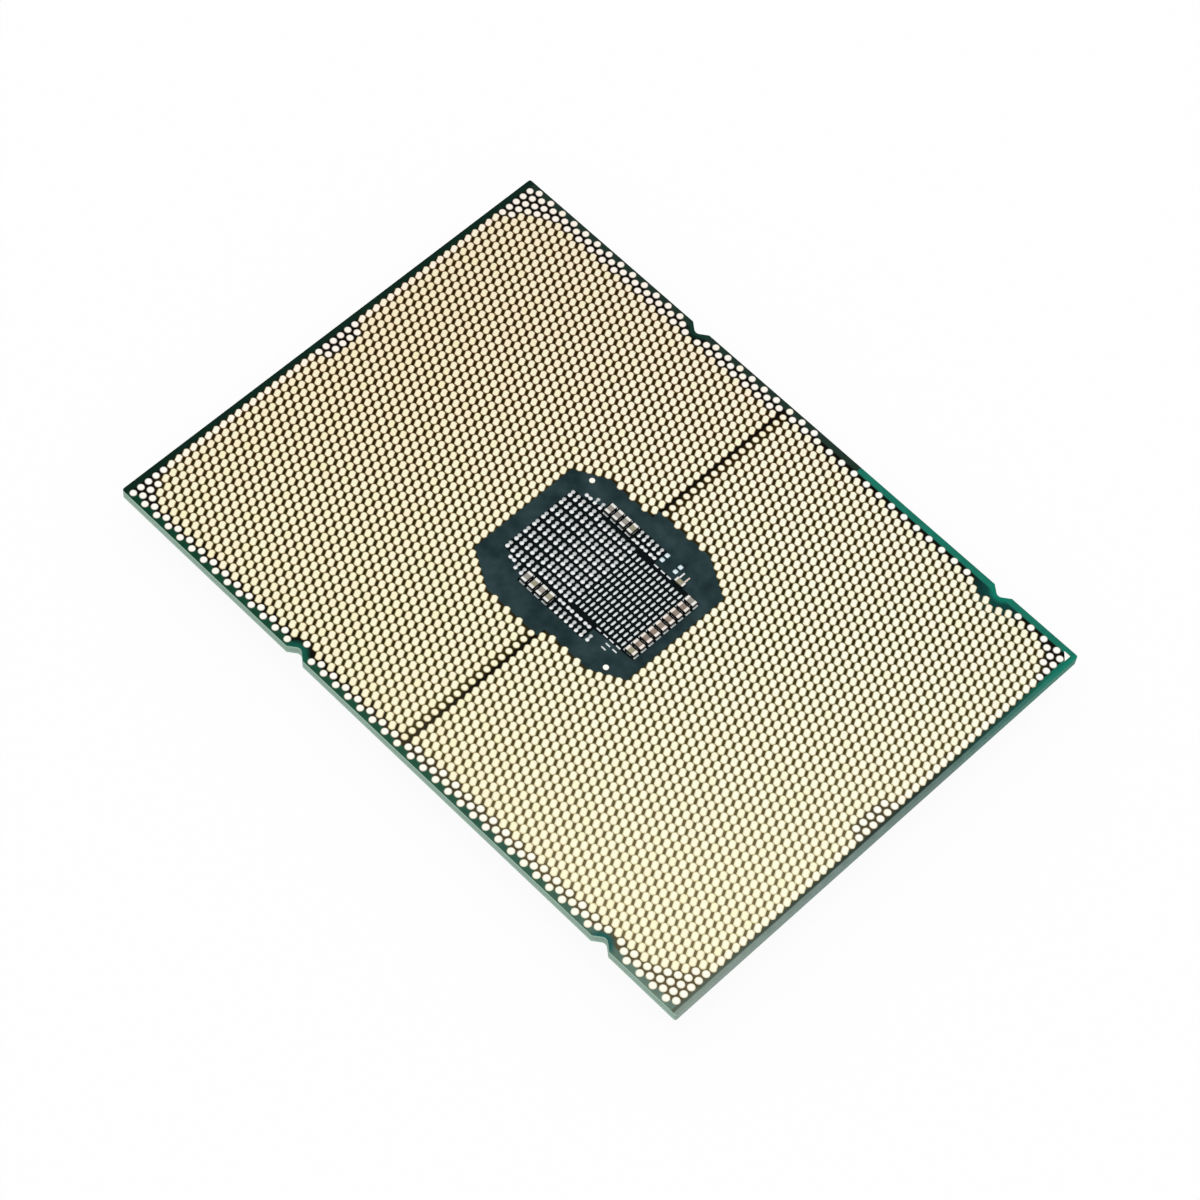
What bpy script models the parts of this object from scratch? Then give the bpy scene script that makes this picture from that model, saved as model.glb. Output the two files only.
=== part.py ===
"""Land-grid-array processor package, lying lid down with its lands up.

The origin is at the centre of the heat spreader's contact face. X runs along the long side,
Y along the short side and Z up, from the lid through the die and the laminate to the lands.
"""

import math

import bmesh
import bpy

MM = 0.001

# Package outline and its keying notches, in millimetres like every size below
PACKAGE_LENGTH = 77.5
PACKAGE_WIDTH = 56.5
CORNER_RADIUS = 0.25
NOTCH_DEPTH = 0.75
NOTCH_BOTTOM_RADIUS = 0.6
NOTCH_SIDE_ANGLE = math.radians(38.0)
LEFT_NOTCH_FROM_LEFT_END = 25.2
RIGHT_NOTCH_FROM_RIGHT_END = 10.05

# Heat spreader: a raised plateau on a flange, hollow underneath for the die
LID_INSET = 2.6
LID_CORNER_RADIUS = 1.5
LID_FOOT_WIDTH = 5.0
PLATEAU_END_STEP = 5.5
PLATEAU_SIDE_STEP = 3.0
PLATEAU_HEIGHT = 1.55
FLANGE_WEB = 0.7
SEALANT_THICKNESS = 0.2
SEALANT_INSET = 0.5
SEALANT_VENT = 3.0

# Silicon die with its solder interface, bumps and underfill
DIE_LENGTH = 28.0
DIE_WIDTH = 23.0
DIE_THICKNESS = 0.775
INTERFACE_THICKNESS = 0.295
BUMP_HEIGHT = 0.08
UNDERFILL_CLIMB = 0.45
UNDERFILL_SPREAD = 0.9
UNDERFILL_EDGE = 0.08

# Substrate laminate, from the die side up to the land side
MASK_THICKNESS = 0.03
BUILDUP_THICKNESS = 0.25
CORE_THICKNESS = 0.69

# Land lattice: a hexagonal grid whose columns run along Y, in two fields parted by a jogged seam
LAND_PITCH = 0.998
COLUMN_GAP = 0.24
SEAM_GAP = 0.17
LAND_LENGTH = 0.66
LAND_THICKNESS = 0.05
LAND_WEB = 0.02
END_MARGIN = 0.95
SIDE_MARGIN = 0.5
FIELD_INSET = 0.15
NOTCH_LAND_CLEARANCE = 1.5
WIDE_NOTCH_CLEARANCE_X = 2.8
WIDE_NOTCH_CLEARANCE_Y = 1.95
BARE_RIM_FROM_X = 4.0
BARE_RIM_WIDTH = 0.8
MARK_LEG = 0.86
MARK_FROM_END = 0.53
MARK_FROM_SIDE = 0.57
MARK_CLEARANCE = 0.05
LONE_LAND_DIAMETER = 0.62
LONE_LAND_INSET_X = 2.4
LONE_LAND_INSET_Y = 1.45

# Land-side capacitors: two rows of one kind and a column of the same kind turned a quarter
CAPACITOR_LENGTH = 1.24
CAPACITOR_WIDTH = 0.71
CAPACITOR_HEIGHT = 0.5
CAPACITOR_GAP = 0.323
TERMINATION_LENGTH = 0.36
TERMINATION_STEP = 0.02
ROW_CAPACITORS = 4
COLUMN_CAPACITORS = 9

# Blocks of bare pads between the capacitors
PAD_THICKNESS = 0.04
PAD_WEB = 0.015
PAD_BORDER = 0.05
LEFT_BLOCK_COLUMNS = 6
LEFT_BLOCK_ROWS = 8
LEFT_PAD_WIDTH = 0.45
LEFT_PAD_GAP = 0.302
LEFT_PAD_LENGTH = 1.0
LEFT_ROW_GAP = 0.237
MIDDLE_BLOCK_COLUMNS = 7
MIDDLE_BLOCK_ROWS = 8
MIDDLE_PAD_WIDTH = 0.42
MIDDLE_PAD_GAP = 0.28
MIDDLE_PAD_LENGTH = 0.95
MIDDLE_ROW_GAP = 0.23
RIGHT_BLOCK_COLUMNS = 12
RIGHT_BLOCK_ROWS = 10
RIGHT_PAD_WIDTH = 0.27
RIGHT_PAD_GAP = 0.311
RIGHT_PAD_LENGTH = 0.64
RIGHT_ROW_GAP = 0.234
GROUP_PAD_WIDTH = 0.4
GROUP_PAD_GAP = 0.295
GROUP_LENGTH = 1.64
UPPER_GROUP_COLUMNS = 5
LOWER_GROUP_COLUMNS = 7
TEST_PAD_PAIRS = 2
TEST_PAD_SIZE = 0.5
TEST_PAD_GAP = 0.22
TEST_PAD_PITCH = 1.85

# Chip at the corner of the right pad block, with two leads
CHIP_WIDTH = 0.6
CHIP_HEIGHT = 0.3
CHIP_OVERHANG = 0.22
LEAD_WIDTH = 0.2
LEAD_LENGTH = 0.85
LEAD_GAP = 0.52
LEAD_INSET = 0.06

# Places and spaces of the pieces in the component area
PIECES_CENTRE_X = 0.283
PIECES_CENTRE_Y = 0.09
RIGHT_BLOCK_DROP = 0.045
COLUMN_CAPACITOR_RISE = 0.025
BLOCK_GAP = 0.3
COLUMN_CAPACITOR_GAP = 0.404
UPPER_ROW_GAP = 0.35
LOWER_ROW_GAP = 0.38
ROW_FROM_BLOCK_END = 3.91
GROUP_GAP = 0.285
UPPER_GROUP_GAP = 0.13
LOWER_GROUP_GAP = 0.09
TEST_PAD_SPACING = 0.33
TEST_PAD_RISE = 0.19
CHIP_END_SPACING = 0.36
CHIP_SIDE_SPACING = 0.5
AREA_END_CLEARANCE = 1.305
AREA_SIDE_CLEARANCE = 1.79
AREA_STEP = 1.0
AREA_STEP_OFFSET = 0.95
AREA_LONG_CHAMFER = (4.32, 2.495)
AREA_SHORT_CHAMFER = (3.457, 1.996)

# Smoothness of the rounded outlines, and how close points are before they are one
CORNER_STEPS = 4
NOTCH_STEPS = 6
LONE_LAND_SIDES = 16
WELD_DISTANCE = 0.0001

# Heights of the stacked faces, from the contact face up
CAVITY_ROOF = PLATEAU_HEIGHT + FLANGE_WEB
DIE_BOTTOM = CAVITY_ROOF + INTERFACE_THICKNESS
DIE_TOP = DIE_BOTTOM + DIE_THICKNESS
SUBSTRATE_BOTTOM = DIE_TOP + BUMP_HEIGHT
FOOT_FACE = SUBSTRATE_BOTTOM - SEALANT_THICKNESS
LOWER_BUILDUP_BOTTOM = SUBSTRATE_BOTTOM + MASK_THICKNESS
CORE_BOTTOM = LOWER_BUILDUP_BOTTOM + BUILDUP_THICKNESS
UPPER_BUILDUP_BOTTOM = CORE_BOTTOM + CORE_THICKNESS
UPPER_MASK_BOTTOM = UPPER_BUILDUP_BOTTOM + BUILDUP_THICKNESS
LAND_FACE = UPPER_MASK_BOTTOM + MASK_THICKNESS

# Places on the land side
HALF_LENGTH = PACKAGE_LENGTH / 2
HALF_WIDTH = PACKAGE_WIDTH / 2
NOTCHES = (LEFT_NOTCH_FROM_LEFT_END - HALF_LENGTH, HALF_LENGTH - RIGHT_NOTCH_FROM_RIGHT_END)
COLUMN_PITCH = LAND_PITCH * math.sqrt(3) / 2
LEFT_PAD_PITCH = LEFT_PAD_WIDTH + LEFT_PAD_GAP
MIDDLE_PAD_PITCH = MIDDLE_PAD_WIDTH + MIDDLE_PAD_GAP
RIGHT_PAD_PITCH = RIGHT_PAD_WIDTH + RIGHT_PAD_GAP
GROUP_PAD_PITCH = GROUP_PAD_WIDTH + GROUP_PAD_GAP
LEFT_BLOCK_LENGTH = LEFT_BLOCK_COLUMNS * LEFT_PAD_PITCH - LEFT_PAD_GAP
LEFT_BLOCK_WIDTH = LEFT_BLOCK_ROWS * (LEFT_PAD_LENGTH + LEFT_ROW_GAP) - LEFT_ROW_GAP
MIDDLE_BLOCK_LENGTH = MIDDLE_BLOCK_COLUMNS * MIDDLE_PAD_PITCH - MIDDLE_PAD_GAP
MIDDLE_BLOCK_WIDTH = MIDDLE_BLOCK_ROWS * (MIDDLE_PAD_LENGTH + MIDDLE_ROW_GAP) - MIDDLE_ROW_GAP
RIGHT_BLOCK_LENGTH = RIGHT_BLOCK_COLUMNS * RIGHT_PAD_PITCH - RIGHT_PAD_GAP
RIGHT_BLOCK_WIDTH = RIGHT_BLOCK_ROWS * (RIGHT_PAD_LENGTH + RIGHT_ROW_GAP) - RIGHT_ROW_GAP
BLOCKS_LENGTH = LEFT_BLOCK_LENGTH + MIDDLE_BLOCK_LENGTH + RIGHT_BLOCK_LENGTH + 2 * BLOCK_GAP
PIECES_LENGTH = BLOCKS_LENGTH + COLUMN_CAPACITOR_GAP + CAPACITOR_LENGTH
PIECES_LEFT = PIECES_CENTRE_X - PIECES_LENGTH / 2
MIDDLE_BLOCK_LEFT = PIECES_LEFT + LEFT_BLOCK_LENGTH + BLOCK_GAP
RIGHT_BLOCK_LEFT = MIDDLE_BLOCK_LEFT + MIDDLE_BLOCK_LENGTH + BLOCK_GAP
PIECES_RIGHT = PIECES_CENTRE_X + PIECES_LENGTH / 2
COLUMN_CAPACITOR_X = PIECES_RIGHT - CAPACITOR_LENGTH / 2
CAPACITOR_PITCH = CAPACITOR_WIDTH + CAPACITOR_GAP
BLOCKS_HALF_WIDTH = max(
    LEFT_BLOCK_WIDTH / 2, MIDDLE_BLOCK_WIDTH / 2, RIGHT_BLOCK_WIDTH / 2 + RIGHT_BLOCK_DROP
)
BLOCKS_BACK = PIECES_CENTRE_Y + BLOCKS_HALF_WIDTH
BLOCKS_FRONT = PIECES_CENTRE_Y - BLOCKS_HALF_WIDTH
UPPER_ROW_Y = BLOCKS_BACK + UPPER_ROW_GAP + CAPACITOR_LENGTH / 2
LOWER_ROW_Y = BLOCKS_FRONT - LOWER_ROW_GAP - CAPACITOR_LENGTH / 2
UPPER_GROUP_Y = BLOCKS_BACK + UPPER_GROUP_GAP + GROUP_LENGTH / 2
LOWER_GROUP_Y = BLOCKS_FRONT - LOWER_GROUP_GAP - GROUP_LENGTH / 2
ROW_FIRST_X = PIECES_LEFT + ROW_FROM_BLOCK_END + CAPACITOR_WIDTH / 2
ROW_RIGHT_X = ROW_FIRST_X + (ROW_CAPACITORS - 1) * CAPACITOR_PITCH + CAPACITOR_WIDTH / 2
GROUP_LEFT = ROW_RIGHT_X + GROUP_GAP
UPPER_GROUP_RIGHT = GROUP_LEFT + UPPER_GROUP_COLUMNS * GROUP_PAD_PITCH - GROUP_PAD_GAP
TEST_PAD_X = UPPER_GROUP_RIGHT + TEST_PAD_SPACING + TEST_PAD_SIZE / 2
CHIP_LEFT = TEST_PAD_X + TEST_PAD_PITCH + TEST_PAD_SIZE / 2 + CHIP_END_SPACING
CHIP_LENGTH = LEAD_INSET + 2 * LEAD_WIDTH + LEAD_GAP + CHIP_OVERHANG
UPPER_ROW_BACK = max(UPPER_ROW_Y + CAPACITOR_LENGTH / 2, UPPER_GROUP_Y + GROUP_LENGTH / 2)
AREA_HALF_LENGTH = PIECES_RIGHT + AREA_END_CLEARANCE
AREA_HALF_WIDTH = UPPER_ROW_BACK + AREA_SIDE_CLEARANCE
MARK_RIGHT = HALF_LENGTH - MARK_FROM_END
MARK_BACK = HALF_WIDTH - MARK_FROM_SIDE
# X plus Y along the long side of the pocket round the mark
MARK_POCKET_LINE = MARK_RIGHT + MARK_BACK - MARK_LEG - math.sqrt(2) * MARK_CLEARANCE
RIB_HALF_WIDTH = (COLUMN_PITCH - COLUMN_GAP) / 2

# Colours, with roughness and metallic value
NICKEL = ((0.62, 0.61, 0.58), 0.35, 1.0)
SEALANT_BLACK = ((0.03, 0.03, 0.03), 0.6, 0.0)
INDIUM = ((0.6, 0.6, 0.62), 0.4, 1.0)
SILICON = ((0.12, 0.12, 0.14), 0.15, 0.6)
EPOXY = ((0.05, 0.05, 0.06), 0.5, 0.0)
MASK_GREEN = ((0.012, 0.045, 0.04), 0.4, 0.0)
BUILDUP_GREEN = ((0.3, 0.5, 0.4), 0.6, 0.0)
CORE_GREY = ((0.35, 0.4, 0.35), 0.7, 0.0)
GOLD = ((0.9, 0.78, 0.52), 0.3, 1.0)
SOLDER = ((0.7, 0.72, 0.74), 0.35, 1.0)
CERAMIC = ((0.36, 0.26, 0.2), 0.5, 0.0)


def clear_scene():
    for item in list(bpy.data.objects):
        bpy.data.objects.remove(item, do_unlink=True)


def make_collection(name):
    collection = bpy.data.collections.new(name)
    bpy.context.scene.collection.children.link(collection)
    return collection


def make_material(name, look):
    colour, roughness, metallic = look
    material = bpy.data.materials.new(name)
    material.use_nodes = True
    shader = material.node_tree.nodes["Principled BSDF"]
    shader.inputs["Base Color"].default_value = (*colour, 1.0)
    shader.inputs["Roughness"].default_value = roughness
    shader.inputs["Metallic"].default_value = metallic
    return material


def mesh_from_outline(name, outline, bottom, top):
    """A closed prism between two heights, from a flat filled curve."""
    curve = bpy.data.curves.new(name, "CURVE")
    curve.dimensions = "2D"
    curve.fill_mode = "BOTH"
    curve.extrude = (top - bottom) / 2 * MM
    spline = curve.splines.new("POLY")
    spline.points.add(len(outline) - 1)
    for point, (x, y) in zip(spline.points, outline):
        point.co = (x * MM, y * MM, 0.0, 1.0)
    spline.use_cyclic_u = True
    flat = bpy.data.objects.new(name, curve)
    bpy.context.scene.collection.objects.link(flat)
    evaluated = flat.evaluated_get(bpy.context.evaluated_depsgraph_get())
    mesh = bpy.data.meshes.new_from_object(evaluated)
    bpy.data.objects.remove(flat, do_unlink=True)
    bpy.data.curves.remove(curve)
    work = bmesh.new()
    work.from_mesh(mesh)
    bmesh.ops.translate(work, verts=work.verts, vec=(0.0, 0.0, (top + bottom) / 2 * MM))
    bmesh.ops.remove_doubles(work, verts=work.verts, dist=WELD_DISTANCE * MM)
    bmesh.ops.recalc_face_normals(work, faces=work.faces)
    work.to_mesh(mesh)
    work.free()
    mesh.name = name
    return mesh


def add_boxes(work, boxes):
    """Boxes given as left, right, front, back, bottom and top, added to one working mesh."""
    for left, right, front, back, bottom, top in boxes:
        made = bmesh.ops.create_cube(work, size=1.0)
        size = ((right - left) * MM, (back - front) * MM, (top - bottom) * MM)
        centre = ((left + right) / 2 * MM, (front + back) / 2 * MM, (bottom + top) / 2 * MM)
        bmesh.ops.scale(work, verts=made["verts"], vec=size)
        bmesh.ops.translate(work, verts=made["verts"], vec=centre)


def mesh_from_boxes(name, boxes):
    mesh = bpy.data.meshes.new(name)
    work = bmesh.new()
    add_boxes(work, boxes)
    work.to_mesh(mesh)
    work.free()
    return mesh


def add_part(name, mesh, look):
    part = bpy.data.objects.new(name, mesh)
    mesh.materials.clear()
    mesh.materials.append(make_material(name, look))
    PARTS.objects.link(part)
    return part


def add_cutter(name, mesh):
    cutter = bpy.data.objects.new(name, mesh)
    cutter.hide_render = True
    cutter.display_type = "WIRE"
    CUTTERS.objects.link(cutter)
    return cutter


def combine(part, operand, operation):
    modifier = part.modifiers.new(operand.name, "BOOLEAN")
    modifier.operation = operation
    modifier.solver = "EXACT"
    modifier.object = operand


def plate(name, outline, bottom, top, look):
    return add_part(name, mesh_from_outline(name, outline, bottom, top), look)


def rectangle(left, right, front, back):
    return [(left, front), (right, front), (right, back), (left, back)]


def corner_arc(centre_x, centre_y, radius, start):
    """Points of a quarter circle, counter-clockwise from the start angle."""
    points = []
    for step in range(CORNER_STEPS + 1):
        angle = start + math.pi / 2 * step / CORNER_STEPS
        points.append((centre_x + radius * math.cos(angle), centre_y + radius * math.sin(angle)))
    return points


def rounded_rectangle(half_length, half_width, radius):
    x = half_length - radius
    y = half_width - radius
    points = corner_arc(x, y, radius, 0.0)
    points += corner_arc(-x, y, radius, math.pi / 2)
    points += corner_arc(-x, -y, radius, math.pi)
    points += corner_arc(x, -y, radius, 3 * math.pi / 2)
    return points


def notch_points(centre_x, edge_y, inward, inset):
    """One notch from left to right: straight sides that run into a round bottom."""
    radius = NOTCH_BOTTOM_RADIUS + inset
    side_x = radius * math.sin(NOTCH_SIDE_ANGLE)
    side_depth = NOTCH_DEPTH - radius + radius * math.cos(NOTCH_SIDE_ANGLE)
    mouth = side_x + side_depth / math.tan(NOTCH_SIDE_ANGLE)
    points = [(centre_x - mouth, edge_y)]
    for step in range(NOTCH_STEPS + 1):
        angle = NOTCH_SIDE_ANGLE * (2 * step / NOTCH_STEPS - 1)
        depth = NOTCH_DEPTH - radius + radius * math.cos(angle)
        points.append((centre_x + radius * math.sin(angle), edge_y + inward * depth))
    points.append((centre_x + mouth, edge_y))
    return points


def package_outline(inset):
    """The substrate's outline with its four notches, drawn in by an inset."""
    half_length = HALF_LENGTH - inset
    half_width = HALF_WIDTH - inset
    x = half_length - CORNER_RADIUS
    y = half_width - CORNER_RADIUS
    points = corner_arc(-x, -y, CORNER_RADIUS, math.pi)
    for centre in NOTCHES:
        points += notch_points(centre, -half_width, 1.0, inset)
    points += corner_arc(x, -y, CORNER_RADIUS, 3 * math.pi / 2)
    points += corner_arc(x, y, CORNER_RADIUS, 0.0)
    for centre in reversed(NOTCHES):
        points += reversed(notch_points(centre, half_width, -1.0, inset))
    points += corner_arc(-x, y, CORNER_RADIUS, math.pi / 2)
    return points


def area_outline():
    """The bare component area: a stepped octagon, the same when turned half round."""
    long_x, long_y = AREA_LONG_CHAMFER
    short_x, short_y = AREA_SHORT_CHAMFER
    lower_top = AREA_HALF_WIDTH
    upper_top = AREA_HALF_WIDTH + AREA_STEP
    half = [
        (AREA_HALF_LENGTH, upper_top - long_y),
        (AREA_HALF_LENGTH - long_x, upper_top),
        (-AREA_STEP_OFFSET, upper_top),
        (-AREA_STEP_OFFSET, lower_top),
        (short_x - AREA_HALF_LENGTH, lower_top),
        (-AREA_HALF_LENGTH, lower_top - short_y),
    ]
    return half + [(-x, -y) for x, y in half]


def inside(outline, x, y):
    """Whether a point lies inside a closed outline."""
    result = False
    for (x0, y0), (x1, y1) in zip(outline, outline[1:] + outline[:1]):
        if (y0 > y) != (y1 > y) and x < x0 + (y - y0) * (x1 - x0) / (y1 - y0):
            result = not result
    return result


def column_count():
    """An even number of land columns that fits between the end margins."""
    room = PACKAGE_LENGTH - 2 * END_MARGIN - SEAM_GAP
    count = int(room / COLUMN_PITCH) + 1
    return count - count % 2


def row_count():
    room = PACKAGE_WIDTH - 2 * SIDE_MARGIN
    return int(room / LAND_PITCH + 0.5)


def clear_of_notches(x, y):
    """Whether a land centre keeps its distance from the mouths of the notches."""
    depth = HALF_WIDTH - abs(y)
    for notch in NOTCHES:
        if math.hypot(x - notch, depth) < NOTCH_LAND_CLEARANCE:
            return False
    wide_x = (x - max(NOTCHES)) / WIDE_NOTCH_CLEARANCE_X
    wide_y = depth / WIDE_NOTCH_CLEARANCE_Y
    return y < 0 or math.hypot(wide_x, wide_y) >= 1.0


def clear_of_mark(x, y):
    """Whether a land stays out of the corner that the pin one mark takes."""
    return x + y < MARK_POCKET_LINE


def clear_of_rim(x, y):
    """Whether a land stays off the wider bare rim along the right part of the back edge."""
    return x < BARE_RIM_FROM_X or HALF_WIDTH - y > BARE_RIM_WIDTH


def has_land(x, y, area):
    on_rim = clear_of_rim(x, y) and clear_of_mark(x, y)
    return on_rim and clear_of_notches(x, y) and not inside(area, x, y)


def column_sites(side, column):
    """Land sites of one column, back to front in the left field, turned half round in the right."""
    columns = column_count()
    rows = row_count()
    x = column * COLUMN_PITCH - ((columns - 1) * COLUMN_PITCH + SEAM_GAP) / 2
    first_y = (rows - 0.5) * LAND_PITCH / 2
    if column % 2 == 0:
        first_y -= LAND_PITCH / 2
    sites = []
    for row in range(rows):
        y = first_y - row * LAND_PITCH
        if column < columns // 2 - 1 or y < 0:
            sites.append((side * x, side * y))
    return sites


def column_runs(side, column, area):
    """Unbroken runs of lands in one column, each a list of sites."""
    runs = [[]]
    for x, y in column_sites(side, column):
        if has_land(x, y, area):
            runs[-1].append((x, y))
        elif runs[-1]:
            runs.append([])
    return [run for run in runs if run]


def land_ribs(side, area):
    """One rib for each run of lands in a field."""
    bottom = LAND_FACE + LAND_WEB / 2
    top = LAND_FACE + LAND_THICKNESS
    boxes = []
    for column in range(column_count() // 2 + 1):
        for run in column_runs(side, column, area):
            x = run[0][0]
            front = min(y for _, y in run) - LAND_LENGTH / 2
            back = max(y for _, y in run) + LAND_LENGTH / 2
            boxes.append((x - RIB_HALF_WIDTH, x + RIB_HALF_WIDTH, front, back, bottom, top))
    return boxes


def beyond_seam_outline(side):
    """Everything past the jogged seam, seen from one field."""
    upper = -COLUMN_PITCH - SEAM_GAP / 2
    lower = COLUMN_PITCH - SEAM_GAP / 2
    points = [
        (upper, HALF_WIDTH),
        (upper, 0.0),
        (lower, 0.0),
        (lower, -HALF_WIDTH),
        (HALF_LENGTH, -HALF_WIDTH),
        (HALF_LENGTH, HALF_WIDTH),
    ]
    return [(side * x, side * y) for x, y in points]


def cut_through_lands(name, outline):
    """A cutter that goes right through the thin land layer."""
    below = LAND_FACE - LAND_THICKNESS
    above = LAND_FACE + 2 * LAND_THICKNESS
    return add_cutter(name, mesh_from_outline(name, outline, below, above))


def land_field(name, side):
    """A thin web in the shape of one land field, with a rib along each run of lands."""
    area = area_outline()
    field = plate(name, package_outline(FIELD_INSET), LAND_FACE, LAND_FACE + LAND_WEB, GOLD)
    mark_corner = [
        (HALF_LENGTH, HALF_WIDTH),
        (MARK_POCKET_LINE - HALF_WIDTH, HALF_WIDTH),
        (HALF_LENGTH, MARK_POCKET_LINE - HALF_LENGTH),
    ]
    ribs = add_cutter(name + "_ribs", mesh_from_boxes(name + "_ribs", land_ribs(side, area)))
    combine(field, cut_through_lands(name + "_area", area), "DIFFERENCE")
    combine(field, cut_through_lands(name + "_seam", beyond_seam_outline(side)), "DIFFERENCE")
    combine(field, ribs, "UNION")
    combine(field, cut_through_lands(name + "_mark", mark_corner), "DIFFERENCE")


def heat_spreader():
    lid_half_length = HALF_LENGTH - LID_INSET
    lid_half_width = HALF_WIDTH - LID_INSET
    flange = rounded_rectangle(lid_half_length, lid_half_width, LID_CORNER_RADIUS)
    top = rounded_rectangle(
        lid_half_length - PLATEAU_END_STEP, lid_half_width - PLATEAU_SIDE_STEP, LID_CORNER_RADIUS
    )
    hollow = rounded_rectangle(
        lid_half_length - LID_FOOT_WIDTH, lid_half_width - LID_FOOT_WIDTH, LID_CORNER_RADIUS
    )
    lid = plate("heat_spreader", flange, PLATEAU_HEIGHT, FOOT_FACE, NICKEL)
    overlap = PLATEAU_HEIGHT + FLANGE_WEB / 2
    plateau = add_cutter("plateau", mesh_from_outline("plateau", top, 0.0, overlap))
    pocket = mesh_from_outline("pocket", hollow, CAVITY_ROOF, SUBSTRATE_BOTTOM)
    combine(lid, plateau, "UNION")
    combine(lid, add_cutter("pocket", pocket), "DIFFERENCE")


def lid_sealant():
    """A bead under the lid's foot, open at one place to vent the cavity."""
    outer_x = HALF_LENGTH - LID_INSET - SEALANT_INSET
    outer_y = HALF_WIDTH - LID_INSET - SEALANT_INSET
    width = LID_FOOT_WIDTH - 2 * SEALANT_INSET
    outer = rounded_rectangle(outer_x, outer_y, LID_CORNER_RADIUS)
    inner = rounded_rectangle(outer_x - width, outer_y - width, LID_CORNER_RADIUS)
    bead = plate("lid_sealant", outer, FOOT_FACE, SUBSTRATE_BOTTOM, SEALANT_BLACK)
    below = FOOT_FACE - SEALANT_THICKNESS
    above = SUBSTRATE_BOTTOM + SEALANT_THICKNESS
    hole = mesh_from_outline("sealant_hole", inner, below, above)
    vent_outline = rectangle(0.0, HALF_LENGTH, -SEALANT_VENT / 2, SEALANT_VENT / 2)
    vent = mesh_from_outline("sealant_vent", vent_outline, below, above)
    combine(bead, add_cutter("sealant_hole", hole), "DIFFERENCE")
    combine(bead, add_cutter("sealant_vent", vent), "DIFFERENCE")


def die_stack():
    """Solder interface, die, and underfill that climbs the die's sides."""
    x = DIE_LENGTH / 2
    y = DIE_WIDTH / 2
    outline = rectangle(-x, x, -y, y)
    plate("thermal_interface", outline, CAVITY_ROOF, DIE_BOTTOM, INDIUM)
    plate("silicon_die", outline, DIE_BOTTOM, DIE_TOP, SILICON)
    mesh = mesh_from_outline("underfill", outline, DIE_TOP - UNDERFILL_CLIMB, SUBSTRATE_BOTTOM)
    middle = (DIE_TOP - UNDERFILL_CLIMB + SUBSTRATE_BOTTOM) / 2 * MM
    for vertex in mesh.vertices:
        if vertex.co.z > middle:
            vertex.co.x += math.copysign(UNDERFILL_SPREAD * MM, vertex.co.x)
            vertex.co.y += math.copysign(UNDERFILL_SPREAD * MM, vertex.co.y)
        else:
            vertex.co.x += math.copysign(UNDERFILL_EDGE * MM, vertex.co.x)
            vertex.co.y += math.copysign(UNDERFILL_EDGE * MM, vertex.co.y)
    underfill = add_part("underfill", mesh, EPOXY)
    die_space = mesh_from_outline("die_space", outline, DIE_BOTTOM - DIE_THICKNESS, DIE_TOP)
    combine(underfill, add_cutter("die_space", die_space), "DIFFERENCE")


def substrate():
    outline = package_outline(0.0)
    plate("die_side_mask", outline, SUBSTRATE_BOTTOM, LOWER_BUILDUP_BOTTOM, MASK_GREEN)
    plate("die_side_buildup", outline, LOWER_BUILDUP_BOTTOM, CORE_BOTTOM, BUILDUP_GREEN)
    plate("core_laminate", outline, CORE_BOTTOM, UPPER_BUILDUP_BOTTOM, CORE_GREY)
    plate("land_side_buildup", outline, UPPER_BUILDUP_BOTTOM, UPPER_MASK_BOTTOM, BUILDUP_GREEN)
    plate("land_side_mask", outline, UPPER_MASK_BOTTOM, LAND_FACE, MASK_GREEN)


def pin_one_mark():
    """A small gold triangle in the right back corner."""
    outline = [
        (MARK_RIGHT, MARK_BACK),
        (MARK_RIGHT - MARK_LEG, MARK_BACK),
        (MARK_RIGHT, MARK_BACK - MARK_LEG),
    ]
    plate("pin_one_mark", outline, LAND_FACE, LAND_FACE + LAND_THICKNESS, GOLD)


def lone_lands():
    """Two round lands by themselves in opposite corners of the component area."""
    x = AREA_HALF_LENGTH - LONE_LAND_INSET_X
    y = AREA_HALF_WIDTH - LONE_LAND_INSET_Y
    for name, side in (("lone_land_left", -1.0), ("lone_land_right", 1.0)):
        outline = []
        for step in range(LONE_LAND_SIDES):
            angle = 2 * math.pi * step / LONE_LAND_SIDES
            radius = LONE_LAND_DIAMETER / 2
            outline.append((side * x + radius * math.cos(angle), -side * y + radius * math.sin(angle)))
        plate(name, outline, LAND_FACE, LAND_FACE + LAND_THICKNESS, GOLD)


def ribbed_block(name, left, centre_y, columns, pad_width, pitch, width):
    """A thin sheet with one rib for each column of pads."""
    front = centre_y - width / 2
    back = centre_y + width / 2
    right = left + (columns - 1) * pitch + pad_width
    border = rectangle(left - PAD_BORDER, right + PAD_BORDER, front - PAD_BORDER, back + PAD_BORDER)
    sheet = plate(name, border, LAND_FACE, LAND_FACE + PAD_WEB, SOLDER)
    bottom = LAND_FACE + PAD_WEB / 2
    top = LAND_FACE + PAD_THICKNESS
    boxes = []
    for column in range(columns):
        start = left + column * pitch
        boxes.append((start, start + pad_width, front, back, bottom, top))
    ribs = add_cutter(name + "_ribs", mesh_from_boxes(name + "_ribs", boxes))
    combine(sheet, ribs, "UNION")


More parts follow.
